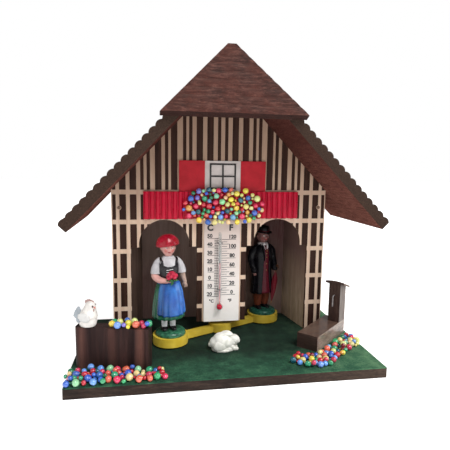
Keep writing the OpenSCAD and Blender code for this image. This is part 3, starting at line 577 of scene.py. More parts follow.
def makeBeadTree():
    tree, take, give = nodeGroup("piercedBeads", "GeometryNodeTree",
                                 {"Geometry": "Geometry", "Sides": "Int", "Rings": "Int", "Dimple": "Float",
                                  "Seed": "Int", "Finish": "Material"}, {"Geometry": "Geometry"})
    ball = put(tree, "GeometryNodeMeshUVSphere", {"Segments": take["Sides"], "Rings": take["Rings"],
                                                  "Radius": 1.0})
    height = part(tree, put(tree, "GeometryNodeInputPosition").outputs[0], "Z")
    pole = put(tree, "ShaderNodeMapRange",
               {"Value": sums(tree, "ABSOLUTE", height), "From Min": 0.7, "From Max": 1.0},
               interpolation_type="SMOOTHSTEP").outputs["Result"]
    push = put(tree, "ShaderNodeCombineXYZ", {"Z": times(tree, pole, take["Dimple"], height, -1.0)})
    bored = put(tree, "GeometryNodeSetPosition",
                {"Geometry": ball.outputs["Mesh"], "Offset": push.outputs[0]})
    points = put(tree, "GeometryNodeMeshToPoints", {"Mesh": take["Geometry"]})
    size = put(tree, "GeometryNodeInputNamedAttribute", {"Name": "beadRadius"}, data_type="FLOAT")
    turn = put(tree, "FunctionNodeRandomValue", {"Seed": take["Seed"], 1: (math.tau,) * 3},
               data_type="FLOAT_VECTOR")
    strung = put(tree, "GeometryNodeInstanceOnPoints",
                 {"Points": points.outputs[0], "Instance": bored.outputs[0], "Rotation": turn.outputs[0],
                  "Scale": size.outputs[0]})
    real = put(tree, "GeometryNodeRealizeInstances", {"Geometry": strung.outputs[0]})
    smooth = put(tree, "GeometryNodeSetShadeSmooth", {0: real.outputs[0]})
    done = put(tree, "GeometryNodeSetMaterial", {"Geometry": smooth.outputs[0], "Material": take["Finish"]})
    tree.links.new(done.outputs[0], give.inputs["Geometry"])
    return tree


def beadsOf(node):  # centre and radius of every ball in a bed's node
    work = bmesh.new()
    work.from_mesh(nodes[node].data)
    bmesh.ops.remove_doubles(work, verts=work.verts, dist=0.02 * mm)
    work.verts.ensure_lookup_table()
    seen, found = set(), []
    for first in work.verts:
        if first.index in seen:
            continue
        seen.add(first.index)
        island, queue = [], [first]
        while queue:
            vert = queue.pop()
            island.append(vert.co.copy())
            for edge in vert.link_edges:
                other = edge.other_vert(vert)
                if other.index not in seen:
                    seen.add(other.index)
                    queue.append(other)
        low, high = (Vector([end(p[i] for p in island) for i in range(3)]) for end in (min, max))
        found.append(((low + high) / 2, max(high - low) / 2))
    work.free()
    found.sort(key=lambda bead: tuple(round(c * 1e5) for c in bead[0]))
    return found


def surfaceOf(node):
    mesh = nodes[node].data
    return BVHTree.FromPolygons([v.co for v in mesh.vertices], [p.vertices for p in mesh.polygons])


def clearance(surface, point):  # negative inside
    spot, normal, face, off = surface.find_nearest(point)
    return off if (point - spot).dot(normal) > 0 else -off


def smallBeads(beads, name, look):  # each rests on what carries the bed, with others close by
    count, carrier = look["small"][name]
    under = surfaceOf(carrier)
    walls = [surfaceOf(node) for node in ("fluted_block", "fountain_trough") if node != carrier]
    draw = random.Random(look["seed"] + 7 * len(name))
    upright = carrier == "balcony_rail"
    base = max(c.y + r for c, r in beads) if upright else min(c.z - r for c, r in beads)
    found = list(beads)
    for _ in range(look["tries"]):
        if len(found) - len(beads) >= count:
            break
        centre, radius = draw.choice(beads)
        size = draw.uniform(*look["smallRadii"]) * mm
        angle, reach = draw.uniform(0, math.tau), (radius + size) * draw.uniform(*look["reach"])
        aside, on = math.cos(angle) * reach, math.sin(angle) * reach
        if upright:
            spot = Vector((centre.x + aside, base - size, centre.z + on))
        else:
            spot = Vector((centre.x + aside, centre.y + on, base + size))
        gaps = [(spot - c).length - r - size for c, r in found]
        near = sum(gap < look["close"] * mm for gap in gaps)
        if near < look["others"] or min(gaps) < -look["overlap"] * mm:
            continue
        rise = abs(clearance(under, spot) - size)
        if rise > look["rest"] * mm or min(clearance(wall, spot) for wall in walls) < size:
            continue
        found.append((spot, size))
    return found


def makeBeads(tree, name, node, look):
    beads = smallBeads(beadsOf(node), name, look)
    start = bpy.data.meshes.new(name)
    start.from_pydata([centre for centre, radius in beads], [], [])
    start.attributes.new("beadRadius", "FLOAT", "POINT")
    start.attributes.new("beadColor", "FLOAT_COLOR", "POINT")
    sizes, colours = start.attributes["beadRadius"].data, start.attributes["beadColor"].data
    draw = random.Random(look["seed"] + len(name))
    choice = look["shares"][name].split()
    for i, (centre, radius) in enumerate(beads):
        sizes[i].value = radius
        colour = linear(look["colours"][draw.choice(choice)])[:3]
        colours[i].color = [min(c * draw.uniform(*look["vary"]), 1) for c in colour] + [1]
    values = {"Sides": look["sides"], "Rings": look["rings"], "Dimple": look["dimple"], "Seed": look["seed"],
              "Finish": finishes["beadGlass"]}
    place(name, runTree(name, tree, values, start), "house", "beads", node)
    print(name, len(beads), "beads")


beadTree = makeBeadTree()
for bedName, bedNode in (("balconyFlowers", "balcony_flowers"), ("blockFlowers", "block_flowers"),
                         ("leftBedFlowers", "left_bed_flowers"), ("rightBedFlowers", "right_bed_flowers")):
    makeBeads(beadTree, bedName, bedNode, beadLook)


# The thermometer's printed scale: rows of marks with numbers above them
scaleLook = {
    "ink": 0.06,
    "celsius": {  # height of the top mark, from number to number, middle of the numbers
        "top": 64.6, "pitch": 5.08, "at": -7.4,
        "numbers": ("50", "40", "30", "20", "10", "0", "10", "20"),
    },
    "fahrenheit": {
        "top": 64.0, "pitch": 5.67, "at": 6.2,
        "numbers": ("120", "100", "80", "60", "40", "20", "0"),
    },
    "rows": {  # unit, from x, to x, line width, step, count
        "celsiusLong": ("celsius", -8.6, -2.1, 0.26, 1.0, 8),
        "celsiusShort": ("celsius", -4.6, -2.1, 0.34, 0.2, 36),
        "fahrenheitLong": ("fahrenheit", -0.4, 8.4, 0.26, 1.0, 7),
        "fahrenheitMiddle": ("fahrenheit", -0.4, 4.6, 0.25, 0.5, 13),
        "fahrenheitShort": ("fahrenheit", -0.4, 3.1, 0.24, 0.25, 25),
    },
    "numberRise": 0.6,
    "number": (3.1, 0.13),  # size and boldness
    "unit": (5.0, 0.27),
    "unitAt": (-7.2, 5.3),
    "unitFoot": 69.5,
    "lowUnit": (2.6, 0.13),
    "lowUnitAt": (-6.2, 5.0),
    "lowUnitFoot": 25.4,
}


def makeMarkTree():
    tree, take, give = nodeGroup("scaleMarks", "GeometryNodeTree",
                                 {"Geometry": "Geometry", "Count": "Int", "First": "Vector", "Step": "Vector",
                                  "Mark": "Vector", "Finish": "Material"}, {"Geometry": "Geometry"})
    line = put(tree, "GeometryNodeMeshLine", {"Count": take["Count"], "Start Location": take["First"],
                                              "Offset": take["Step"]})
    mark = put(tree, "GeometryNodeMeshCube", {"Size": take["Mark"]})
    row = put(tree, "GeometryNodeInstanceOnPoints", {"Points": line.outputs[0], "Instance": mark.outputs[0]})
    real = put(tree, "GeometryNodeRealizeInstances", {"Geometry": row.outputs[0]})
    done = put(tree, "GeometryNodeSetMaterial", {"Geometry": real.outputs[0], "Material": take["Finish"]})
    tree.links.new(done.outputs[0], give.inputs["Geometry"])
    return tree


def letterMesh(words, size, bold, depth, x, y, z):  # stands upright on its foot line and faces the front
    curve = bpy.data.curves.new("letters", "FONT")
    curve.body = words
    curve.size = size * mm
    curve.offset = bold * mm
    curve.extrude = depth * mm / 2
    curve.align_x = "CENTER"
    curve.resolution_u = 4
    holder = bpy.data.objects.new("letters", curve)
    scene.collection.objects.link(holder)
    ready = holder.evaluated_get(bpy.context.evaluated_depsgraph_get())
    mesh = bpy.data.meshes.new_from_object(ready)
    bpy.data.objects.remove(holder)
    mesh.transform(Matrix.Translation(Vector((x, y, z)) * mm) @ Matrix.Rotation(math.pi / 2, 4, "X"))
    return mesh


def makeScale(look):
    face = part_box("thermometer_card")[0].y / mm - look["ink"] / 2
    tree = makeMarkTree()
    meshes = []
    for name, (unit, fromX, toX, width, step, count) in look["rows"].items():
        first, down = look[unit]["top"], look[unit]["pitch"] * step
        values = {"Count": count, "First": Vector(((fromX + toX) / 2, face, first)) * mm,
                  "Step": Vector((0, 0, -down)) * mm, "Mark": Vector((toX - fromX, look["ink"], width)) * mm,
                  "Finish": finishes["printBlack"]}
        meshes.append(runTree(name, tree, values))

    def write(words, kind, x, foot):
        meshes.append(letterMesh(words, *look[kind], look["ink"], x, face, foot))
    for unit in (look["celsius"], look["fahrenheit"]):
        for i, words in enumerate(unit["numbers"]):
            write(words, "number", unit["at"], unit["top"] - i * unit["pitch"] + look["numberRise"])
    for letter, x, lowX in zip("CF", look["unitAt"], look["lowUnitAt"]):
        write(letter, "unit", x, look["unitFoot"])
        write("°" + letter, "lowUnit", lowX, look["lowUnitFoot"])
    work = bmesh.new()
    for mesh in meshes:
        work.from_mesh(mesh)
    bmesh.ops.remove_doubles(work, verts=work.verts, dist=0.002 * mm)
    bmesh.ops.recalc_face_normals(work, faces=work.faces)
    for item in work.faces:
        item.material_index = 0
    scaleMesh = bpy.data.meshes.new("thermometerScale")
    work.to_mesh(scaleMesh)
    work.free()
    scaleMesh.materials.append(finishes["printBlack"])
    place("thermometerScale", scaleMesh, "house", "black_bars")
    print("thermometer scale:", len(scaleMesh.polygons), "faces")


makeScale(scaleLook)


# Modelled shapes: closed shells with a paint colour at every point, gathered into one mesh
untilted = Matrix.Identity(3)


def newShape():
    return {"points": [], "faces": [], "paint": []}


def addPoint(shape, point, colour):
    shape["points"].append(point)
    shape["paint"].append(linear(colour(point) if callable(colour) else colour))


def addRings(shape, rings, colour):  # closed loops joined in turn, with a point at either end
    count, base = len(rings[0]), len(shape["points"])
    for ring in rings:
        for point in ring:
            addPoint(shape, point, colour)
    for i in range(len(rings) - 1):
        for j in range(count):
            a, b = (base + i * count + k % count for k in (j, j + 1))
            shape["faces"].append((a, b, b + count, a + count))
    for ring, start in ((rings[0], base), (rings[-1], base + (len(rings) - 1) * count)):
        tip = len(shape["points"])
        addPoint(shape, sum(ring, Vector()) / count, colour)
        shape["faces"] += [(start + j, start + (j + 1) % count, tip) for j in range(count)]


def addSheet(shape, columns, rows, skins, colour):  # an outer and an inner skin, joined round their edges
    pairs = [skins(j / columns, i / rows) for i in range(rows + 1) for j in range(columns + 1)]
    base = len(shape["points"])
    for side in (0, 1):
        for pair in pairs:
            addPoint(shape, pair[side], colour)

    def face(*corners):
        shape["faces"].append([base + side * len(pairs) + i * (columns + 1) + j for i, j, side in corners])
    for side in (0, 1):
        for i in range(rows):
            for j in range(columns):
                face((i, j, side), (i, j + 1, side), (i + 1, j + 1, side), (i + 1, j, side))
    for i in range(rows):
        for j in (0, columns):
            face((i, j, 0), (i + 1, j, 0), (i + 1, j, 1), (i, j, 1))
    for j in range(columns):
        for i in (0, rows):
            face((i, j, 0), (i, j + 1, 0), (i, j + 1, 1), (i, j, 1))


def loops(sides, levels, spot):  # a closed loop of points at each level
    return [[spot(math.tau * j / sides, level) for j in range(sides)] for level in levels]


def shares(steps):
    return [i / steps for i in range(steps + 1)]


def through(values, share):  # smooth curve through a list of points
    last = len(values) - 1
    spot = max(0, min(1, share)) * last
    i = min(int(spot), last - 1)
    t = spot - i
    a, b, c, d = (Vector(values[max(0, min(last, k))]) for k in (i - 1, i, i + 1, i + 2))
    return ((2 * b) + (c - a) * t + (2 * a - 5 * b + 4 * c - d) * t * t
            + (3 * b - a - 3 * c + d) * t ** 3) / 2


def throughNumbers(values, share):
    return through([(value, value) for value in values], share)[0]


def addTurned(shape, profile, colour, sides=40, steps=30, oval=(1, 1), at=(0, 0, 0), ripple=None,
              tilt=untilted):
    def spot(angle, share):
        radius, z = through(profile, share)
        r = max(radius, 0.01) + (ripple(angle, z, share) if ripple else 0)
        return tilt @ Vector((r * oval[0] * math.sin(angle), -r * oval[1] * math.cos(angle), z)) + Vector(at)
    addRings(shape, loops(sides, shares(steps), spot), colour)


def addSweep(shape, path, widths, colour, sides=16, steps=18, flat=1.0, roundEnds=True, ripple=None,
             lean=(0, 0, 1)):
    spots = [through(path, share) for share in shares(steps)]
    radii = [throughNumbers(widths, share) for share in shares(steps)]
    headings = [(spots[min(i + 1, steps)] - spots[max(i - 1, 0)]).normalized() for i in range(steps + 1)]
    side = headings[0].cross(Vector(lean))
    if side.length < 0.05:
        side = headings[0].cross(Vector((1, 0, 0)))
    side.normalize()
    rings = []

    def addRing(centre, ahead, across, radius, share):
        other = ahead.cross(across).normalized()
        ring = []
        for j in range(sides):
            angle = math.tau * j / sides
            r = radius + (ripple(angle, share) * radius if ripple else 0)
            ring.append(centre + across * (r * math.cos(angle)) + other * (r * flat * math.sin(angle)))
        rings.append(ring)
    rounding = [math.pi / 2 * k / 4 for k in range(4)] if roundEnds else []

    def addEnd(i, turns, way):  # smaller and smaller rings past the end of the path
        for a in turns:
            addRing(spots[i] + headings[i] * (way * radii[i] * flat * math.cos(a)), headings[i], side,
                    radii[i] * max(math.sin(a), 0.02), i / steps)
    for i in range(steps + 1):
        side = (side - headings[i] * side.dot(headings[i])).normalized()
        if i == 0:
            addEnd(i, rounding, -1)
        addRing(spots[i], headings[i], side, radii[i], i / steps)
    addEnd(steps, rounding[::-1], 1)
    addRings(shape, rings, colour)


def addBlob(shape, centre, radii, colour, sides=18, steps=11, tilt=untilted, warp=None):
    def spot(angle, i):
        lift = math.pi * (i + 0.06) / (steps + 0.12)  # the first and last loops keep a little width
        unit = Vector((math.sin(lift) * math.sin(angle), -math.sin(lift) * math.cos(angle), -math.cos(lift)))
        return tilt @ ((warp(unit) if warp else unit) * Vector(radii)) + Vector(centre)
    addRings(shape, loops(sides, range(steps + 1), spot), colour)


def placeShape(name, shape, where, finish, body, slot, node):
    mesh = bpy.data.meshes.new(name)
    mesh.from_pydata([where @ p * mm for p in shape["points"]], [], shape["faces"])
    work = bmesh.new()
    work.from_mesh(mesh)
    bmesh.ops.recalc_face_normals(work, faces=work.faces)
    work.to_mesh(mesh)
    work.free()
    paint = mesh.attributes.new("paint", "FLOAT_COLOR", "POINT")
    for i, colour in enumerate(shape["paint"]):
        paint.data[i].color = colour
    mesh.polygons.foreach_set("use_smooth", [True] * len(mesh.polygons))
    mesh.materials.append(finishes[finish])
    place(name, mesh, body, slot, node)
    print(name, len(mesh.polygons), "faces")


def turnAbout(axis, degrees):
    return Matrix.Rotation(math.radians(degrees), 3, axis)


def lumps(point, size, seed):
    return noise.noise(Vector(point) / size + Vector((seed, seed * 0.7, -seed)))


def blend(first, second, share):
    return [a + (b - a) * max(0, min(1, share)) for a, b in zip(first, second)]


# What both figures share: the green mound, the face and the hands
figureColours = {
    "skin": (213, 160, 151),
    "greyerSkin": (172, 146, 132),
    "blush": (208, 116, 112),
    "lips": (170, 56, 60),
    "eye": (58, 42, 42),
    "white": (250, 250, 249),
    "hair": (80, 52, 38),
    "shoe": (24, 22, 24),
}
moundLook = {"radius": 8.7, "height": 3.1, "roughness": 0.25}


def addMound(shape, look, middle, green):
    def rough(angle, z, share):
        clods = lumps((math.sin(angle) * 4, math.cos(angle) * 4, z * 2), 1.4, 3)
        return look["roughness"] * clods * min(1, z * 2)

    def grass(point):
        return blend(*green, 0.5 + lumps(point, 1.3, 8))
    r, h = look["radius"], look["height"]
    outline = [(r - 0.1, 0), (r, 0.5), (r - 0.1, 1.2), (r - 0.45, 2.0), (r - 1.2, h - 0.5),
               (r - 2.6, h - 0.12), (r - 4.8, h), (1.2, h)]
    addTurned(shape, outline, grass, sides=56, steps=28, ripple=rough, at=middle)


def addHead(shape, z, radius, skinColour):
    def oval(unit):
        jaw = 1 - 0.2 * max(0, -unit.z) ** 1.4
        return Vector((unit.x * jaw * 0.94, unit.y * (1 - 0.1 * max(0, -unit.z)), unit.z * 1.1))

    def skin(point):
        near = min((point - Vector((s * 2.1, -radius * 0.82, z - 1.1))).length for s in (-1, 1))
        glow = max(0, 1 - near / 1.5) * 0.75
        return [a + (b * a / figureColours["skin"][0] - a) * glow
                for a, b in zip(skinColour, figureColours["blush"])]
    addBlob(shape, (0, 0, z), (radius, radius, radius), skin, sides=36, steps=24, warp=oval)
    addBlob(shape, (0, -radius * 0.98, z - 0.35), (0.5, 0.62, 0.8), skinColour, sides=14, steps=9)
    for s in (-1, 1):
        addBlob(shape, (s * 1.45, -radius * 0.905, z + 0.55), (0.52, 0.2, 0.42),
                figureColours["white"], 14, 8)
        addBlob(shape, (s * 1.42, -radius * 0.94, z + 0.53), (0.27, 0.16, 0.32), figureColours["eye"], 12, 7)
        addSweep(shape, [(s * 0.85, -radius * 0.93, z + 1.35), (s * 1.5, -radius * 0.89, z + 1.62),
                         (s * 2.15, -radius * 0.8, z + 1.4)], [0.1, 0.16, 0.08], figureColours["hair"],
                 sides=8, steps=6)
        addBlob(shape, (s * radius * 0.93, 0.2, z - 0.1), (0.45, 0.8, 1.05), skinColour, 12, 8)
    addSweep(shape, [(-0.8, -radius * 0.86, z - 1.75), (0, -radius * 0.93, z - 1.9),
                     (0.8, -radius * 0.86, z - 1.75)],
             [0.12, 0.26, 0.12], figureColours["lips"], sides=10, steps=8)


def addHand(shape, at, heading, skinColour, size=1.0):
    start = Vector(at)
    ahead = Vector(heading).normalized()
    side = ahead.cross(Vector((0, 1, 0)))
    if side.length < 0.1:
        side = ahead.cross(Vector((0, 0, 1)))
    side.normalize()
    addSweep(shape, [start - ahead * 0.4 * size, start + ahead * 0.9 * size, start + ahead * 1.7 * size],
             [1.05 * size, 1.25 * size, 1.0 * size], skinColour, sides=12, steps=6, flat=0.75)
    for k in range(4):
        root = start + ahead * 1.6 * size + side * (k - 1.5) * 0.52 * size
        addSweep(shape, [root, root + ahead * 0.9 * size,
                         root + ahead * 1.6 * size + Vector((0, 0.25, 0)) * size],
                 [0.36 * size, 0.34 * size, 0.26 * size], skinColour, sides=8, steps=5)
    thumb = start + ahead * 0.6 * size - side * 1.0 * size
    addSweep(shape, [thumb, thumb + ahead * 0.8 * size - side * 0.35 * size], [0.42 * size, 0.32 * size],
             skinColour, sides=8, steps=4)


# The woman: bonnet, blouse and bodice, apron over a pleated skirt, a posy in one hand
womanLook = {
    "turn": 8,
    "out": 1.2,
    "hemZ": 10.6,
    "waistZ": 30.2,
    "headZ": 50,
    "headR": 4.2,
    "skirtRadii": (9.1, 9.0, 8.8, 8.4, 7.9, 7.3, 6.2),
    "pleats": 16,
    "pleatDepth": 0.3,
    "apronMiddle": 12,
    "apronHalf": 64,
    "apronHem": 12.7,
    "skirt": (38, 104, 76),
    "apron": (70, 138, 214),
    "apronShade": (40, 88, 172),
    "bodice": (24, 22, 27),
    "blouse": (194, 192, 194),
    "stocking": (253, 254, 255),
    "mound": ((36, 84, 64), (64, 132, 98)),
    "bonnet": (148, 8, 30),
    "bonnetPale": (182, 36, 58),
    "posy": (194, 48, 74),
    "stem": (46, 110, 58),
}


def addSkirt(shape, look):
    hem, waist = look["hemZ"], look["waistZ"]

    def spot(angle, z, off):
        share = (z - hem) / (waist - hem)
        r = throughNumbers(look["skirtRadii"], share) + off
        r += look["pleatDepth"] * max(0, 1 - share) ** 0.6 * math.cos(look["pleats"] * angle)
        return Vector((r * math.sin(angle), -r * 0.93 * math.cos(angle), z))
    levels = [(hem + 0.9, -2.2), (hem, -0.4)]  # turned in at the hem
    levels += [(hem + (waist - hem) * share, 0) for share in shares(22)]
    addRings(shape, loops(96, levels, lambda angle, level: spot(angle, *level)), look["skirt"])

    def cloth(point):
        # painted shade: darker towards the apron's left side
        dim = 0.74 + 0.26 * max(0, min(1, (point.x + 7) / 8))
        fold = 0.5 + 0.9 * lumps((point.x, point.y, point.z * 0.25), 2.2, 5)
        return [dim * value for value in blend(look["apronShade"], look["apron"], fold)]

    def apron(across, up):
        share = across * 2 - 1
        angle = math.radians(look["apronMiddle"] + look["apronHalf"] * share)
        foot = look["apronHem"] + 1.3 * share ** 4
        z = foot + (waist + 0.6 - foot) * up
        lift = 0.55 + 0.2 * math.cos(7 * share * math.pi) * (1 - up)
        return [spot(angle, min(z, waist), off) + Vector((0, 0, max(0, z - waist))) for off in (lift, -0.5)]
    addSheet(shape, 44, 24, apron, cloth)
    band = [(5.75, waist - 0.4), (6.2, waist + 0.1), (6.15, waist + 0.9), (5.6, waist + 1.3)]
    addTurned(shape, band, look["apronShade"], sides=40, steps=6, oval=(1, 0.9))
    for s in (-1, 1):  # bow at the back
        addSweep(shape, [(0, 5.6, waist + 0.4), (s * 2.2, 6.0, waist + 1.4), (s * 2.6, 5.9, waist - 0.2),
                         (0, 5.7, waist + 0.3)], [0.35, 0.75, 0.75, 0.35], look["apron"], sides=10, steps=14,
                 flat=0.4)
        addSweep(shape, [(0, 5.8, waist + 0.2), (s * 1.0, 6.3, waist - 3), (s * 1.6, 6.9, waist - 6.4)],
                 [0.4, 0.6, 0.75], look["apron"], sides=10, steps=10, flat=0.35)


def addBlouse(shape, look):
    waist, chin = look["waistZ"], look["headZ"] - look["headR"]

    def torso(angle, share, off=0.0):
        r, z = through([(5.6, waist - 1), (5.5, waist + 2.5), (5.8, waist + 6), (5.9, waist + 8.4),
                        (5.5, chin - 3.4), (4.4, chin - 1.6), (2.3, chin - 0.2)], share)
        r += off
        return Vector((r * 1.02 * math.sin(angle), -r * 0.82 * math.cos(angle), z))
    addRings(shape, loops(48, shares(26), torso), look["blouse"])

    def bodice(across, up):  # laced, and scooped at the front
        angle = math.tau * across
        top = 0.66 - 0.09 * max(0, math.cos(angle)) ** 2
        return [torso(angle, 0.02 + (top - 0.02) * up, off) for off in (0.28, -0.4)]
    addSheet(shape, 72, 14, bodice, look["bodice"])
    for s in (-1, 1):  # straps over the shoulders
        path = [torso(math.radians(s * a), share, 0.2) for a, share in
                ((36, 0.56), (42, 0.68), (58, 0.8), (90, 0.87), (122, 0.82), (140, 0.66), (146, 0.5))]
        addSweep(shape, path, [1.25, 1.1, 0.95, 0.85, 0.85, 0.9, 0.9], look["bodice"], sides=10, steps=22,
                 flat=0.35)
    for k in range(5):  # lacing
        z = 0.14 + 0.085 * k
        path = [torso(math.radians(a), z + 0.03 * (a + 16) / 32, 0.42) for a in (-16, -5, 5, 16)]
        addSweep(shape, path, [0.17] * 4, figureColours["white"], sides=8, steps=8)
    addSweep(shape, [(0, 0.1, chin - 1.6), (0, -0.1, chin + 1.4)], [2.0, 1.9], figureColours["skin"], steps=6)
    frill = [(2.2, chin - 1.0), (3.0, chin - 0.9), (3.1, chin - 0.4), (2.3, chin - 0.1)]
    addTurned(shape, frill, look["blouse"], sides=48, steps=8, oval=(1, 0.9),
              ripple=lambda angle, z, share: 0.16 * math.sin(12 * angle) * math.sin(math.pi * share))


def addSleeves(shape, look):
    top = look["headZ"] - look["headR"] - 2.0

    def gathers(angle, share):
        return 0.06 * math.cos(9 * angle) * (0.4 + abs(share - 0.5) * 1.4)
    for s in (-1, 1):  # wide sleeves, open at the elbow
        addSweep(shape, [(s * 4.0, 0.1, top + 0.2), (s * 5.7, 0, top - 1.8), (s * 6.7, -0.3, top - 4.6),
                         (s * 7.2, -0.6, top - 7.4)], [1.5, 2.1, 2.6, 2.75], look["blouse"],
                 sides=28, steps=22, ripple=gathers, roundEnds=False)
        addSweep(shape, [(s * 7.2, -0.6, top - 7.3), (s * 7.25, -0.7, top - 8.0)], [2.85, 2.75],
                 look["blouse"], sides=28, steps=4, roundEnds=False)
    elbow = top - 7.8
    addSweep(shape, [(-7.3, -0.7, elbow + 1.0), (-7.6, -1.4, elbow - 1.6), (-5.2, -4.2, elbow - 3.2),
                     (-1.6, -6.2, elbow - 3.4)], [1.9, 2.05, 1.8, 1.3], figureColours["skin"], steps=20)
    addHand(shape, (-1.6, -6.4, elbow - 3.2), (1, -0.25, 0.22), figureColours["skin"])
    # the right forearm and hand in a darker, greyer skin tone
    addSweep(shape, [(7.3, -0.7, elbow + 1.0), (8.2, -1.1, elbow - 2.2), (9.1, -1.7, elbow - 5.2)],
             [1.8, 1.6, 1.2], figureColours["greyerSkin"], steps=16)
    addHand(shape, (9.15, -1.75, elbow - 5.4), (0.16, -0.16, -1), figureColours["greyerSkin"])


def addPosy(shape, look):
    middle = Vector((0.9, -7.6, 35.0))
    for k in range(3):
        foot = Vector((0.3 + 0.5 * k, -7.2, 30.4 + 0.3 * k))
        addSweep(shape, [foot, foot + Vector((0.3, -0.2, 2.4)), middle], [0.28, 0.3, 0.3], look["stem"], 8, 8)
    for k in range(6):
        angle = math.tau * k / 6
        out = Vector((math.cos(angle) * 2.3, math.sin(angle) * 1.7, -1.6))
        addBlob(shape, middle + out, (1.2, 1.0, 0.45), look["stem"], 12, 7,
                tilt=turnAbout("Y", 25 * math.cos(angle)))
    golden = math.pi * (3 - math.sqrt(5))
    for k in range(13):  # blooms packed round the top of the posy
        lift = 1 - k / 12 * 1.15
        reach = math.sqrt(max(0, 1 - lift * lift))
        out = Vector((math.cos(k * golden) * reach * 2.3, math.sin(k * golden) * reach * 1.8, lift * 2.3))
        addBlob(shape, middle + out, (1.2, 1.1, 1.1), look["posy"], 14, 9,
                warp=lambda unit: unit * (1 + 0.14 * math.sin(5 * math.atan2(unit.y, unit.x) + 4 * unit.z)))


def addBonnet(shape, look):
    z = look["headZ"]

    # red with paler pink blotches: partly uneven paint, partly painted highlight
    def blotchesAndHighlights(point):
        return blend(look["bonnet"], look["bonnetPale"], 0.25 + 1.1 * lumps(point, 1.8, 12))

    def dents(angle, height, share):
        return 0.3 * lumps((math.sin(angle) * 5, math.cos(angle) * 5, height), 1.7, 21)
    tilt = turnAbout("X", -4) @ turnAbout("Y", -7)
    outline = [(3.6, 1.6), (5.6, 1.3), (6.5, 1.6), (6.55, 2.4), (6.0, 4.3), (4.6, 6.3), (2.4, 7.5),
               (0.4, 7.8)]
    addTurned(shape, outline, blotchesAndHighlights, sides=48, steps=34, at=(0, 0.4, z), tilt=tilt, ripple=dents)


def makeWoman(look):
    shape = newShape()
    addMound(shape, moundLook, (look["out"], 0, 0), look["mound"])  # in the middle of the pad
    for s in (-1, 1):
        addSweep(shape, [(s * 2.4, -0.4, 4.6), (s * 2.3, 0, 12)], [1.6, 1.85], look["stocking"], steps=8)
        addSweep(shape, [(s * 2.2, 0.9, 4.0), (s * 2.4, -0.9, 3.8), (s * 2.8, -3.5, 3.5)], [1.6, 1.8, 1.4],
                 figureColours["shoe"], sides=18, steps=12, flat=0.8)
    addSkirt(shape, look)
    addBlouse(shape, look)
    addSleeves(shape, look)
    addPosy(shape, look)
    addHead(shape, look["headZ"], look["headR"], figureColours["skin"])
    addBlob(shape, (0, 1.1, look["headZ"] - 0.2), (4.0, 3.7, 4.2), figureColours["hair"], 28, 16)
    addBonnet(shape, look)
    return shape


# The man: brimmed hat, long open coat over a waistcoat, breeches and a furled umbrella
manLook = {
    "turn": 20,
    # painted shade: the man's mound darker than the woman's
    "mound": ((24, 62, 52), (46, 98, 80)),
    "out": 0.9,
    "coatZ": 13.6,
    "headZ": 51.2,
    "headR": 4.2,
    "opening": 24,
    # painted shade: the man's skin darker than the woman's
    "skin": (134, 95, 90),
    "shirt": (212, 205, 205),
    "coat": (13, 12, 17),
    "waistcoat": (92, 26, 38),
    "breeches": (112, 58, 40),
    "boot": (22, 19, 21),
    "hat": (17, 15, 17),
    "band": (90, 26, 32),
    "umbrella": (104, 18, 32),
    "crook": (96, 62, 40),
    "button": (150, 118, 70),
}


def addCoat(shape, look):
    foot, chest = look["coatZ"], look["headZ"] - look["headR"] - 1.2

    def body(angle, share, off=0.0):
        r, z = through([(7.6, foot), (7.2, foot + 5), (6.7, foot + 11), (6.4, foot + 17), (6.6, chest - 8),
                        (6.6, chest - 4.4), (5.4, chest - 1.6), (2.9, chest + 0.2)], share)
        r += off + 0.25 * math.cos(9 * angle) * max(0, 0.6 - share)
        return Vector((r * 1.02 * math.sin(angle), -r * 0.84 * math.cos(angle), z))
    waistcoat = loops(48, shares(28), lambda angle, share: body(angle, 0.01 + 0.97 * share, -0.75))
    addRings(shape, waistcoat, look["waistcoat"])

    def coat(across, up):  # open down the front
        gap = math.radians(look["opening"]) * (1.15 - 0.75 * up + 1.8 * max(0, up - 0.75))
        return [body(gap + (math.tau - 2 * gap) * across, up, off) for off in (0.12, -0.62)]
    addSheet(shape, 76, 30, coat, look["coat"])
    for s in (-1, 1):  # turned-back lapels
        path = [body(math.radians(s * a), share, 0.35) for a, share in
                ((15, 0.52), (20, 0.66), (27, 0.8), (36, 0.9), (60, 0.97))]
        addSweep(shape, path, [0.35, 1.1, 1.5, 1.2, 0.6], look["coat"], sides=12, steps=18, flat=0.3)
    for k in range(5):
        addBlob(shape, body(math.radians(1), 0.4 + 0.085 * k, -0.6), (0.42, 0.3, 0.42), look["button"], 12, 7)
    addTurned(shape, [(2.6, chest - 0.9), (3.4, chest - 0.2), (3.1, chest + 1.0), (2.2, chest + 1.4)],
              look["shirt"], sides=36, steps=10, oval=(1, 0.9))
    for s in (-1, 1):  # shirt front and collar points
        addSweep(shape, [(s * 0.2, -4.3, chest - 3.6), (s * 0.9, -3.9, chest - 1.6),
                         (s * 1.6, -3.0, chest + 0.4)],
                 [0.3, 0.8, 0.7], look["shirt"], sides=10, steps=10, flat=0.4)
    addSweep(shape, [(0, 0.1, chest - 0.6), (0, 0, chest + 2.2)], [2.0, 1.9], look["skin"], steps=6)


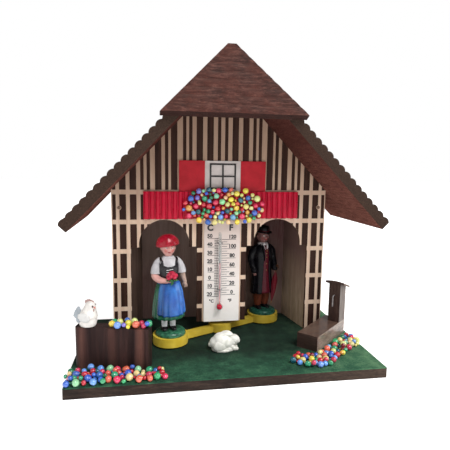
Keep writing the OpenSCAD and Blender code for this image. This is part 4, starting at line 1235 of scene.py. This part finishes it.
def addCoatArms(shape, look):
    top = look["headZ"] - look["headR"] - 3.2
    for s in (-1, 1):
        addSweep(shape, [(s * 5.0, 0.1, top), (s * 7.4, 0.2, top - 2.6), (s * 8.5, 0.3, top - 7.2),
                         (s * 8.5, -1.2, top - 11), (s * 8.2, -2.7, top - 13.4)], [2.0, 2.4, 2.2, 2.0, 1.85],
                 look["coat"], sides=22, steps=26,
                 ripple=lambda angle, share: 0.05 * math.cos(5 * angle + 14 * share))
        addSweep(shape, [(s * 8.22, -2.6, top - 13.1), (s * 8.15, -2.95, top - 14.4)], [2.05, 2.05],
                 look["coat"], sides=22, steps=4)
        addHand(shape, (s * 8.1, -3.1, top - 14.6), (-0.05 * s, -0.35, -1), look["skin"], 0.95)


def addUmbrella(shape, look):
    top, foot = Vector((8.1, -4.4, 27.2)), Vector((3.4, -6.9, 8.8))

    def folds(angle, share):
        return 0.16 * math.cos(8 * angle + 5 * share)
    addSweep(shape, [top + (foot - top) * 0.05, top + (foot - top) * 0.3, top + (foot - top) * 0.7, foot],
             [0.7, 1.7, 1.3, 0.35], look["umbrella"], sides=32, steps=24, ripple=folds)
    addSweep(shape, [foot, foot + (foot - top).normalized() * 1.6], [0.28, 0.2], look["button"],
             sides=10, steps=4)
    crook = [top + Vector(bend) for bend in ((0, 0, 0), (0.1, 0.1, 2.2), (0.2, -0.3, 4.0), (0.25, -1.3, 4.7),
                                             (0.25, -2.2, 4.0), (0.2, -2.3, 3.0))]
    addSweep(shape, crook, [0.42] * 5 + [0.4], look["crook"], sides=12, steps=22)


def addHat(shape, look):
    z = look["headZ"]
    tilt = turnAbout("Y", 5) @ turnAbout("X", 4)

    def brim(across, out):  # curled up at the sides
        angle, r = math.tau * across, 3.7 + 2.2 * out
        curl = 0.55 * out ** 2 * abs(math.sin(angle))
        return [tilt @ Vector((r * math.sin(angle), -r * math.cos(angle), rise + curl)) + Vector((0, 0.3, z))
                for rise in (2.85, 2.25)]
    addSheet(shape, 56, 8, brim, look["hat"])
    addTurned(shape, [(4.05, 2.2), (4.15, 3.2), (4.1, 4.8), (3.8, 6.1), (3.1, 6.9), (1.9, 7.1), (0.5, 6.8)],
              look["hat"], sides=40, steps=26, at=(0, 0.3, z), tilt=tilt,
              ripple=lambda angle, height, share: -0.35 * max(0, share - 0.6) * abs(math.sin(angle)))
    addTurned(shape, [(4.1, 2.7), (4.32, 2.9), (4.32, 3.7), (4.05, 3.9)], look["band"], sides=40, steps=6,
              at=(0, 0.3, z), tilt=tilt)


def makeMan(look):
    shape = newShape()
    addMound(shape, moundLook, turnAbout("Z", -look["turn"]) @ Vector((look["out"], 0, 0)), look["mound"])
    for s in (-1, 1):
        addSweep(shape, [(s * 2.7, 0.2, 3.6), (s * 2.75, 0.2, 6.8)], [1.75, 2.05], look["boot"],
                 sides=20, steps=8)
        addSweep(shape, [(s * 2.6, 1.3, 3.9), (s * 2.8, -0.8, 3.7), (s * 3.1, -3.2, 3.2)], [1.7, 1.85, 1.3],
                 look["boot"], sides=18, steps=12, flat=0.8)
        addSweep(shape, [(s * 2.75, 0.2, 6.2), (s * 2.9, 0.1, 9.8), (s * 2.9, 0, 15.5)], [2.3, 2.9, 3.1],
                 look["breeches"], sides=22, steps=12, ripple=lambda angle, share: 0.05 * math.cos(6 * angle))
    addCoat(shape, look)
    addCoatArms(shape, look)
    addUmbrella(shape, look)
    addHead(shape, look["headZ"], look["headR"], look["skin"])
    addBlob(shape, (0, 1.0, look["headZ"] + 0.4), (4.15, 3.6, 3.6), figureColours["hair"], 28, 16)
    addHat(shape, look)
    return shape


# Where the figures stand: on the middles of the beam's two pads
padRadius = 10.1
beamLow, beamHigh = (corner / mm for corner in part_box("weather_beam"))
frontPad = Vector((beamLow.x + padRadius, beamLow.y + padRadius, beamHigh.z))
backPad = Vector((beamHigh.x - padRadius, beamHigh.y - padRadius, beamHigh.z))

womanTurn = turnAbout("Z", womanLook["turn"])
womanPlace = Matrix.Translation(frontPad + womanTurn @ Vector((-womanLook["out"], 0, 0))) @ womanTurn.to_4x4()
placeShape("womanFigure", makeWoman(womanLook), womanPlace, "figurePaint", "beam", "woman_paint",
           "woman_figure")
manTurn = turnAbout("Z", manLook["turn"]).to_4x4()
manPlace = Matrix.Translation(backPad - Vector((manLook["out"], 0, 0))) @ manTurn
placeShape("manFigure", makeMan(manLook), manPlace, "shadedPaint", "beam", "man_paint", "man_figure")


# The hen on the block
henLook = {
    "along": 5.9,
    "depth": 3.9,
    "white": (236, 231, 224),
    "grey": (166, 174, 180),
    "shade": (214, 213, 210),
    "comb": (172, 142, 136),
    "beak": (204, 120, 108),
    "eye": (70, 44, 42),
}


def makeHen(look):
    shape = newShape()

    def plumage(point):
        fleck = 0.15 + 0.8 * lumps((point.x, point.y, point.z * 0.6), 1.5, 4)
        return blend(look["white"], look["shade"], 0.7 * min(1, fleck))

    def feathers(angle, share):
        return 0.03 * math.sin(10 * angle + 6 * math.sin(16 * share)) * (1 - abs(2 * share - 0.8))
    addTurned(shape, [(3.5, 0), (4.0, 0.3), (4.4, 1.6), (4.55, 3.4), (4.2, 5.2)], plumage, sides=36, steps=14,
              oval=(1, 0.92))
    addSweep(shape, [(0.3, 0.2, 4.2), (0.3, 0.2, 5.2), (0.9, 0, 8.0), (1.5, -0.3, 10.4)],
             [3.9, 4.5, 3.5, 2.65], plumage, sides=36, steps=30, ripple=feathers, lean=(1, 0, 0))
    for k in range(5):  # tail feathers
        lift = math.radians(34 + 11 * k)
        root, reach = Vector((-3.8, 0.5, 2.8 + 0.35 * k)), 4.2 + 0.25 * k
        tip = root + Vector((-math.cos(lift) * reach, 0.35 * (k % 2), math.sin(lift) * reach))
        addSweep(shape, [root, (root + tip) / 2 + Vector((-0.3, 0, 0.3)), tip], [0.9, 1.25, 0.7],
                 look["grey"], sides=12, steps=10, flat=0.45, lean=(0, 1, 0))
    for s in (-1, 1):  # folded wings
        addBlob(shape, (-0.6, 0.2 + s * 4.1, 5.2), (3.3, 0.9, 2.3), look["shade"], 22, 14,
                tilt=turnAbout("Y", 24), warp=lambda u: u * (1 + 0.05 * math.sin(9 * math.atan2(u.z, u.x))))
        addBlob(shape, (-3.3, 0.2 + s * 3.3, 4.2), (1.5, 0.9, 1.9), look["grey"], 18, 11,
                tilt=turnAbout("Y", 24))
    for k in range(5):
        addBlob(shape, (-0.5 + 0.8 * k, -0.3, 12.5 + 0.5 * math.sin(k * 0.9)), (0.8, 0.55, 0.9), look["comb"],
                12, 8)
    addSweep(shape, [(3.5, -1.1, 10.0), (4.1, -1.3, 9.8), (4.7, -1.5, 9.6)], [0.6, 0.4, 0.12], look["beak"],
             12, 8)
    for s in (-0.5, 0.5):
        addBlob(shape, (3.6, -1.2 + s, 8.6), (0.45, 0.4, 0.8), look["comb"], 12, 8)
    for y in (-2.2, 1.6):
        addBlob(shape, (3.4, y, 10.6), (0.5, 0.4, 0.5), look["eye"], 12, 8)
    return shape


blockTurn = turnAbout("Z", blockLook["turn"])
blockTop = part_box("fluted_block")[1].z / mm
henOffset = Vector((henLook["along"], henLook["depth"], 0))
henSpot = Vector(blockLook["corner"] + (blockTop,)) + blockTurn @ henOffset
henPlace = Matrix.Translation(henSpot) @ blockTurn.to_4x4()
placeShape("henFigure", makeHen(henLook), henPlace, "animalGlaze", "house", "hen_paint", "hen")

# The white rabbit on the grass
rabbitLook = {
    "spot": (-1.6, -12.5),
    "white": (248, 247, 238),
    "shade": (206, 206, 194),
    "inner": (236, 222, 216),
    "eye": (120, 104, 100),
    "nose": (226, 196, 190),
}


def makeRabbit(look):
    shape = newShape()

    def coat(point):
        # painted shade: greyer lower down
        fleck = 0.2 + 0.8 * lumps(point, 1.8, 6) - 0.05 * (point.z - 3)
        return blend(look["white"], look["shade"], fleck)

    def fur(angle, share):
        return 0.012 * math.sin(11 * angle + 9 * share)
    addSweep(shape, [(-5.0, 0, 4.3), (-3.0, 0, 4.9), (0, 0, 4.9), (2.4, -0.1, 4.9), (4.0, -0.3, 5.4)],
             [3.6, 4.8, 4.8, 4.0, 3.0], coat, sides=34, steps=28, ripple=fur)
    for s in (-1, 1):
        addBlob(shape, (-3.0, s * 3.5, 3.5), (3.8, 1.8, 3.3), coat, 24, 14, tilt=turnAbout("Y", -14))
        addSweep(shape, [(-4.2, s * 3.7, 1.0), (-1.0, s * 4.0, 0.9), (0.8, s * 4.1, 0.8)], [1.0, 1.05, 0.8],
                 coat, 14, 10)
        addSweep(shape, [(3.0, s * 1.7 - 0.2, 3.0), (4.6, s * 1.7 - 0.2, 1.4), (6.6, s * 1.6 - 0.2, 1.0)],
                 [1.6, 1.4, 1.05], coat, 16, 12)
        addSweep(shape, [(4.4, s * 1.0 - 0.3, 8.2), (2.6, s * 1.5 - 0.2, 9.2), (0.4, s * 2.0, 9.2),
                         (-1.8, s * 2.4, 8.8)], [0.7, 1.05, 1.05, 0.5], coat, 16, 16, flat=0.5,
                 lean=(0, 1, 0))
        addSweep(shape, [(3.4, s * 1.3 - 0.3, 9.1), (1.7, s * 1.7 - 0.2, 9.55), (-0.2, s * 2.1, 9.4)],
                 [0.3, 0.5, 0.35], look["inner"], 10, 10, flat=0.4, lean=(0, 1, 0))
        addBlob(shape, (6.5, s * 1.85 - 0.5, 6.9), (0.36, 0.26, 0.4), look["eye"], 12, 8)
    addBlob(shape, (5.1, -0.4, 6.1), (3.4, 2.8, 2.7), coat, 28, 18, tilt=turnAbout("Y", 18))
    addBlob(shape, (7.3, -0.5, 5.1), (1.3, 1.5, 1.2), coat, 20, 12)
    addBlob(shape, (8.3, -0.5, 5.6), (0.35, 0.45, 0.3), look["nose"], 12, 8)
    addBlob(shape, (-7.9, 0, 3.4), (1.3, 1.4, 1.4), coat, 18, 12,
            warp=lambda u: u * (1 + 0.06 * math.sin(8 * math.atan2(u.y, u.z))))
    addTurned(shape, [(4.3, 0), (4.6, 0.5), (4.5, 1.8), (3.6, 3.4)], coat, sides=32, steps=10,
              oval=(1.45, 0.95), at=(-0.6, 0, 0))
    return shape


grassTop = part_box("grass_sheet")[1].z / mm
rabbitPlace = Matrix.Translation(Vector(rabbitLook["spot"] + (grassTop,)))
placeShape("rabbitFigure", makeRabbit(rabbitLook), rabbitPlace, "animalGlaze", "house", "rabbit_white",
           "rabbit")

# Pale floor and soft studio light
studio = {
    "floorSize": 6.0,
    "floor": ((246, 245, 244), (250, 250, 250)),
    "floorGlow": (0.72, 1.0),  # near the object and further off
    "floorReach": (0.12, 0.5),  # where that is, in metres
    "sky": 0.34,
    "lamps": {  # place in metres, size, power
        "keyLamp": ((0.3, -0.6, 0.95), 0.5, 10.5),
        "sideLamp": ((1.0, -0.2, 0.4), 0.6, 4.5),
        "fillLamp": ((-0.9, -0.6, 0.35), 0.8, 2.0),
    },
    "aim": (0, 0, 0.07),
}


def makeStudio(look):
    half = look["floorSize"] / 2
    mesh = bpy.data.meshes.new("studioFloor")
    mesh.from_pydata([(-half, -half, 0), (half, -half, 0), (half, half, 0), (-half, half, 0)], [],
                     [(0, 1, 2, 3)])
    floor = bpy.data.objects.new("studioFloor", mesh)
    scene.collection.objects.link(floor)
    finish, tree, shader, where = newFinish("floorPaper", Roughness=0.9)
    colour = mixed(tree, cloud(tree, where["Object"], 3.0, 2), *(linear(paper) for paper in look["floor"]))
    far = put(tree, "ShaderNodeVectorMath", {0: where["Object"]}, operation="LENGTH").outputs["Value"]
    glow = spread(tree, far, *look["floorReach"], *look["floorGlow"])
    for socket, value in (("Base Color", colour), ("Emission Color", colour), ("Emission Strength", glow)):
        tree.links.new(value, shader.inputs[socket])
    mesh.materials.append(finish)
    world = bpy.data.worlds.new("studioSky")
    scene.world = world
    world.use_nodes = True
    tree = world.node_tree
    tree.nodes.clear()
    lit, seen = (put(tree, "ShaderNodeBackground", {"Color": (1, 1, 1, 1), "Strength": strength}).outputs[0]
                 for strength in (look["sky"], 1.0))
    ray = put(tree, "ShaderNodeLightPath").outputs["Is Camera Ray"]
    sky = put(tree, "ShaderNodeMixShader", {0: ray, 1: lit, 2: seen})
    put(tree, "ShaderNodeOutputWorld", {"Surface": sky.outputs[0]})
    for name, (spot, size, power) in look["lamps"].items():
        data = bpy.data.lights.new(name, "AREA")
        data.size = size
        data.energy = power
        lamp = bpy.data.objects.new(name, data)
        scene.collection.objects.link(lamp)
        lamp.location = spot
        lamp.rotation_euler = (Vector(spot) - Vector(look["aim"])).to_track_quat("Z", "Y").to_euler()
    scene.view_settings.view_transform = "Standard"


makeStudio(studio)
print("studio made")
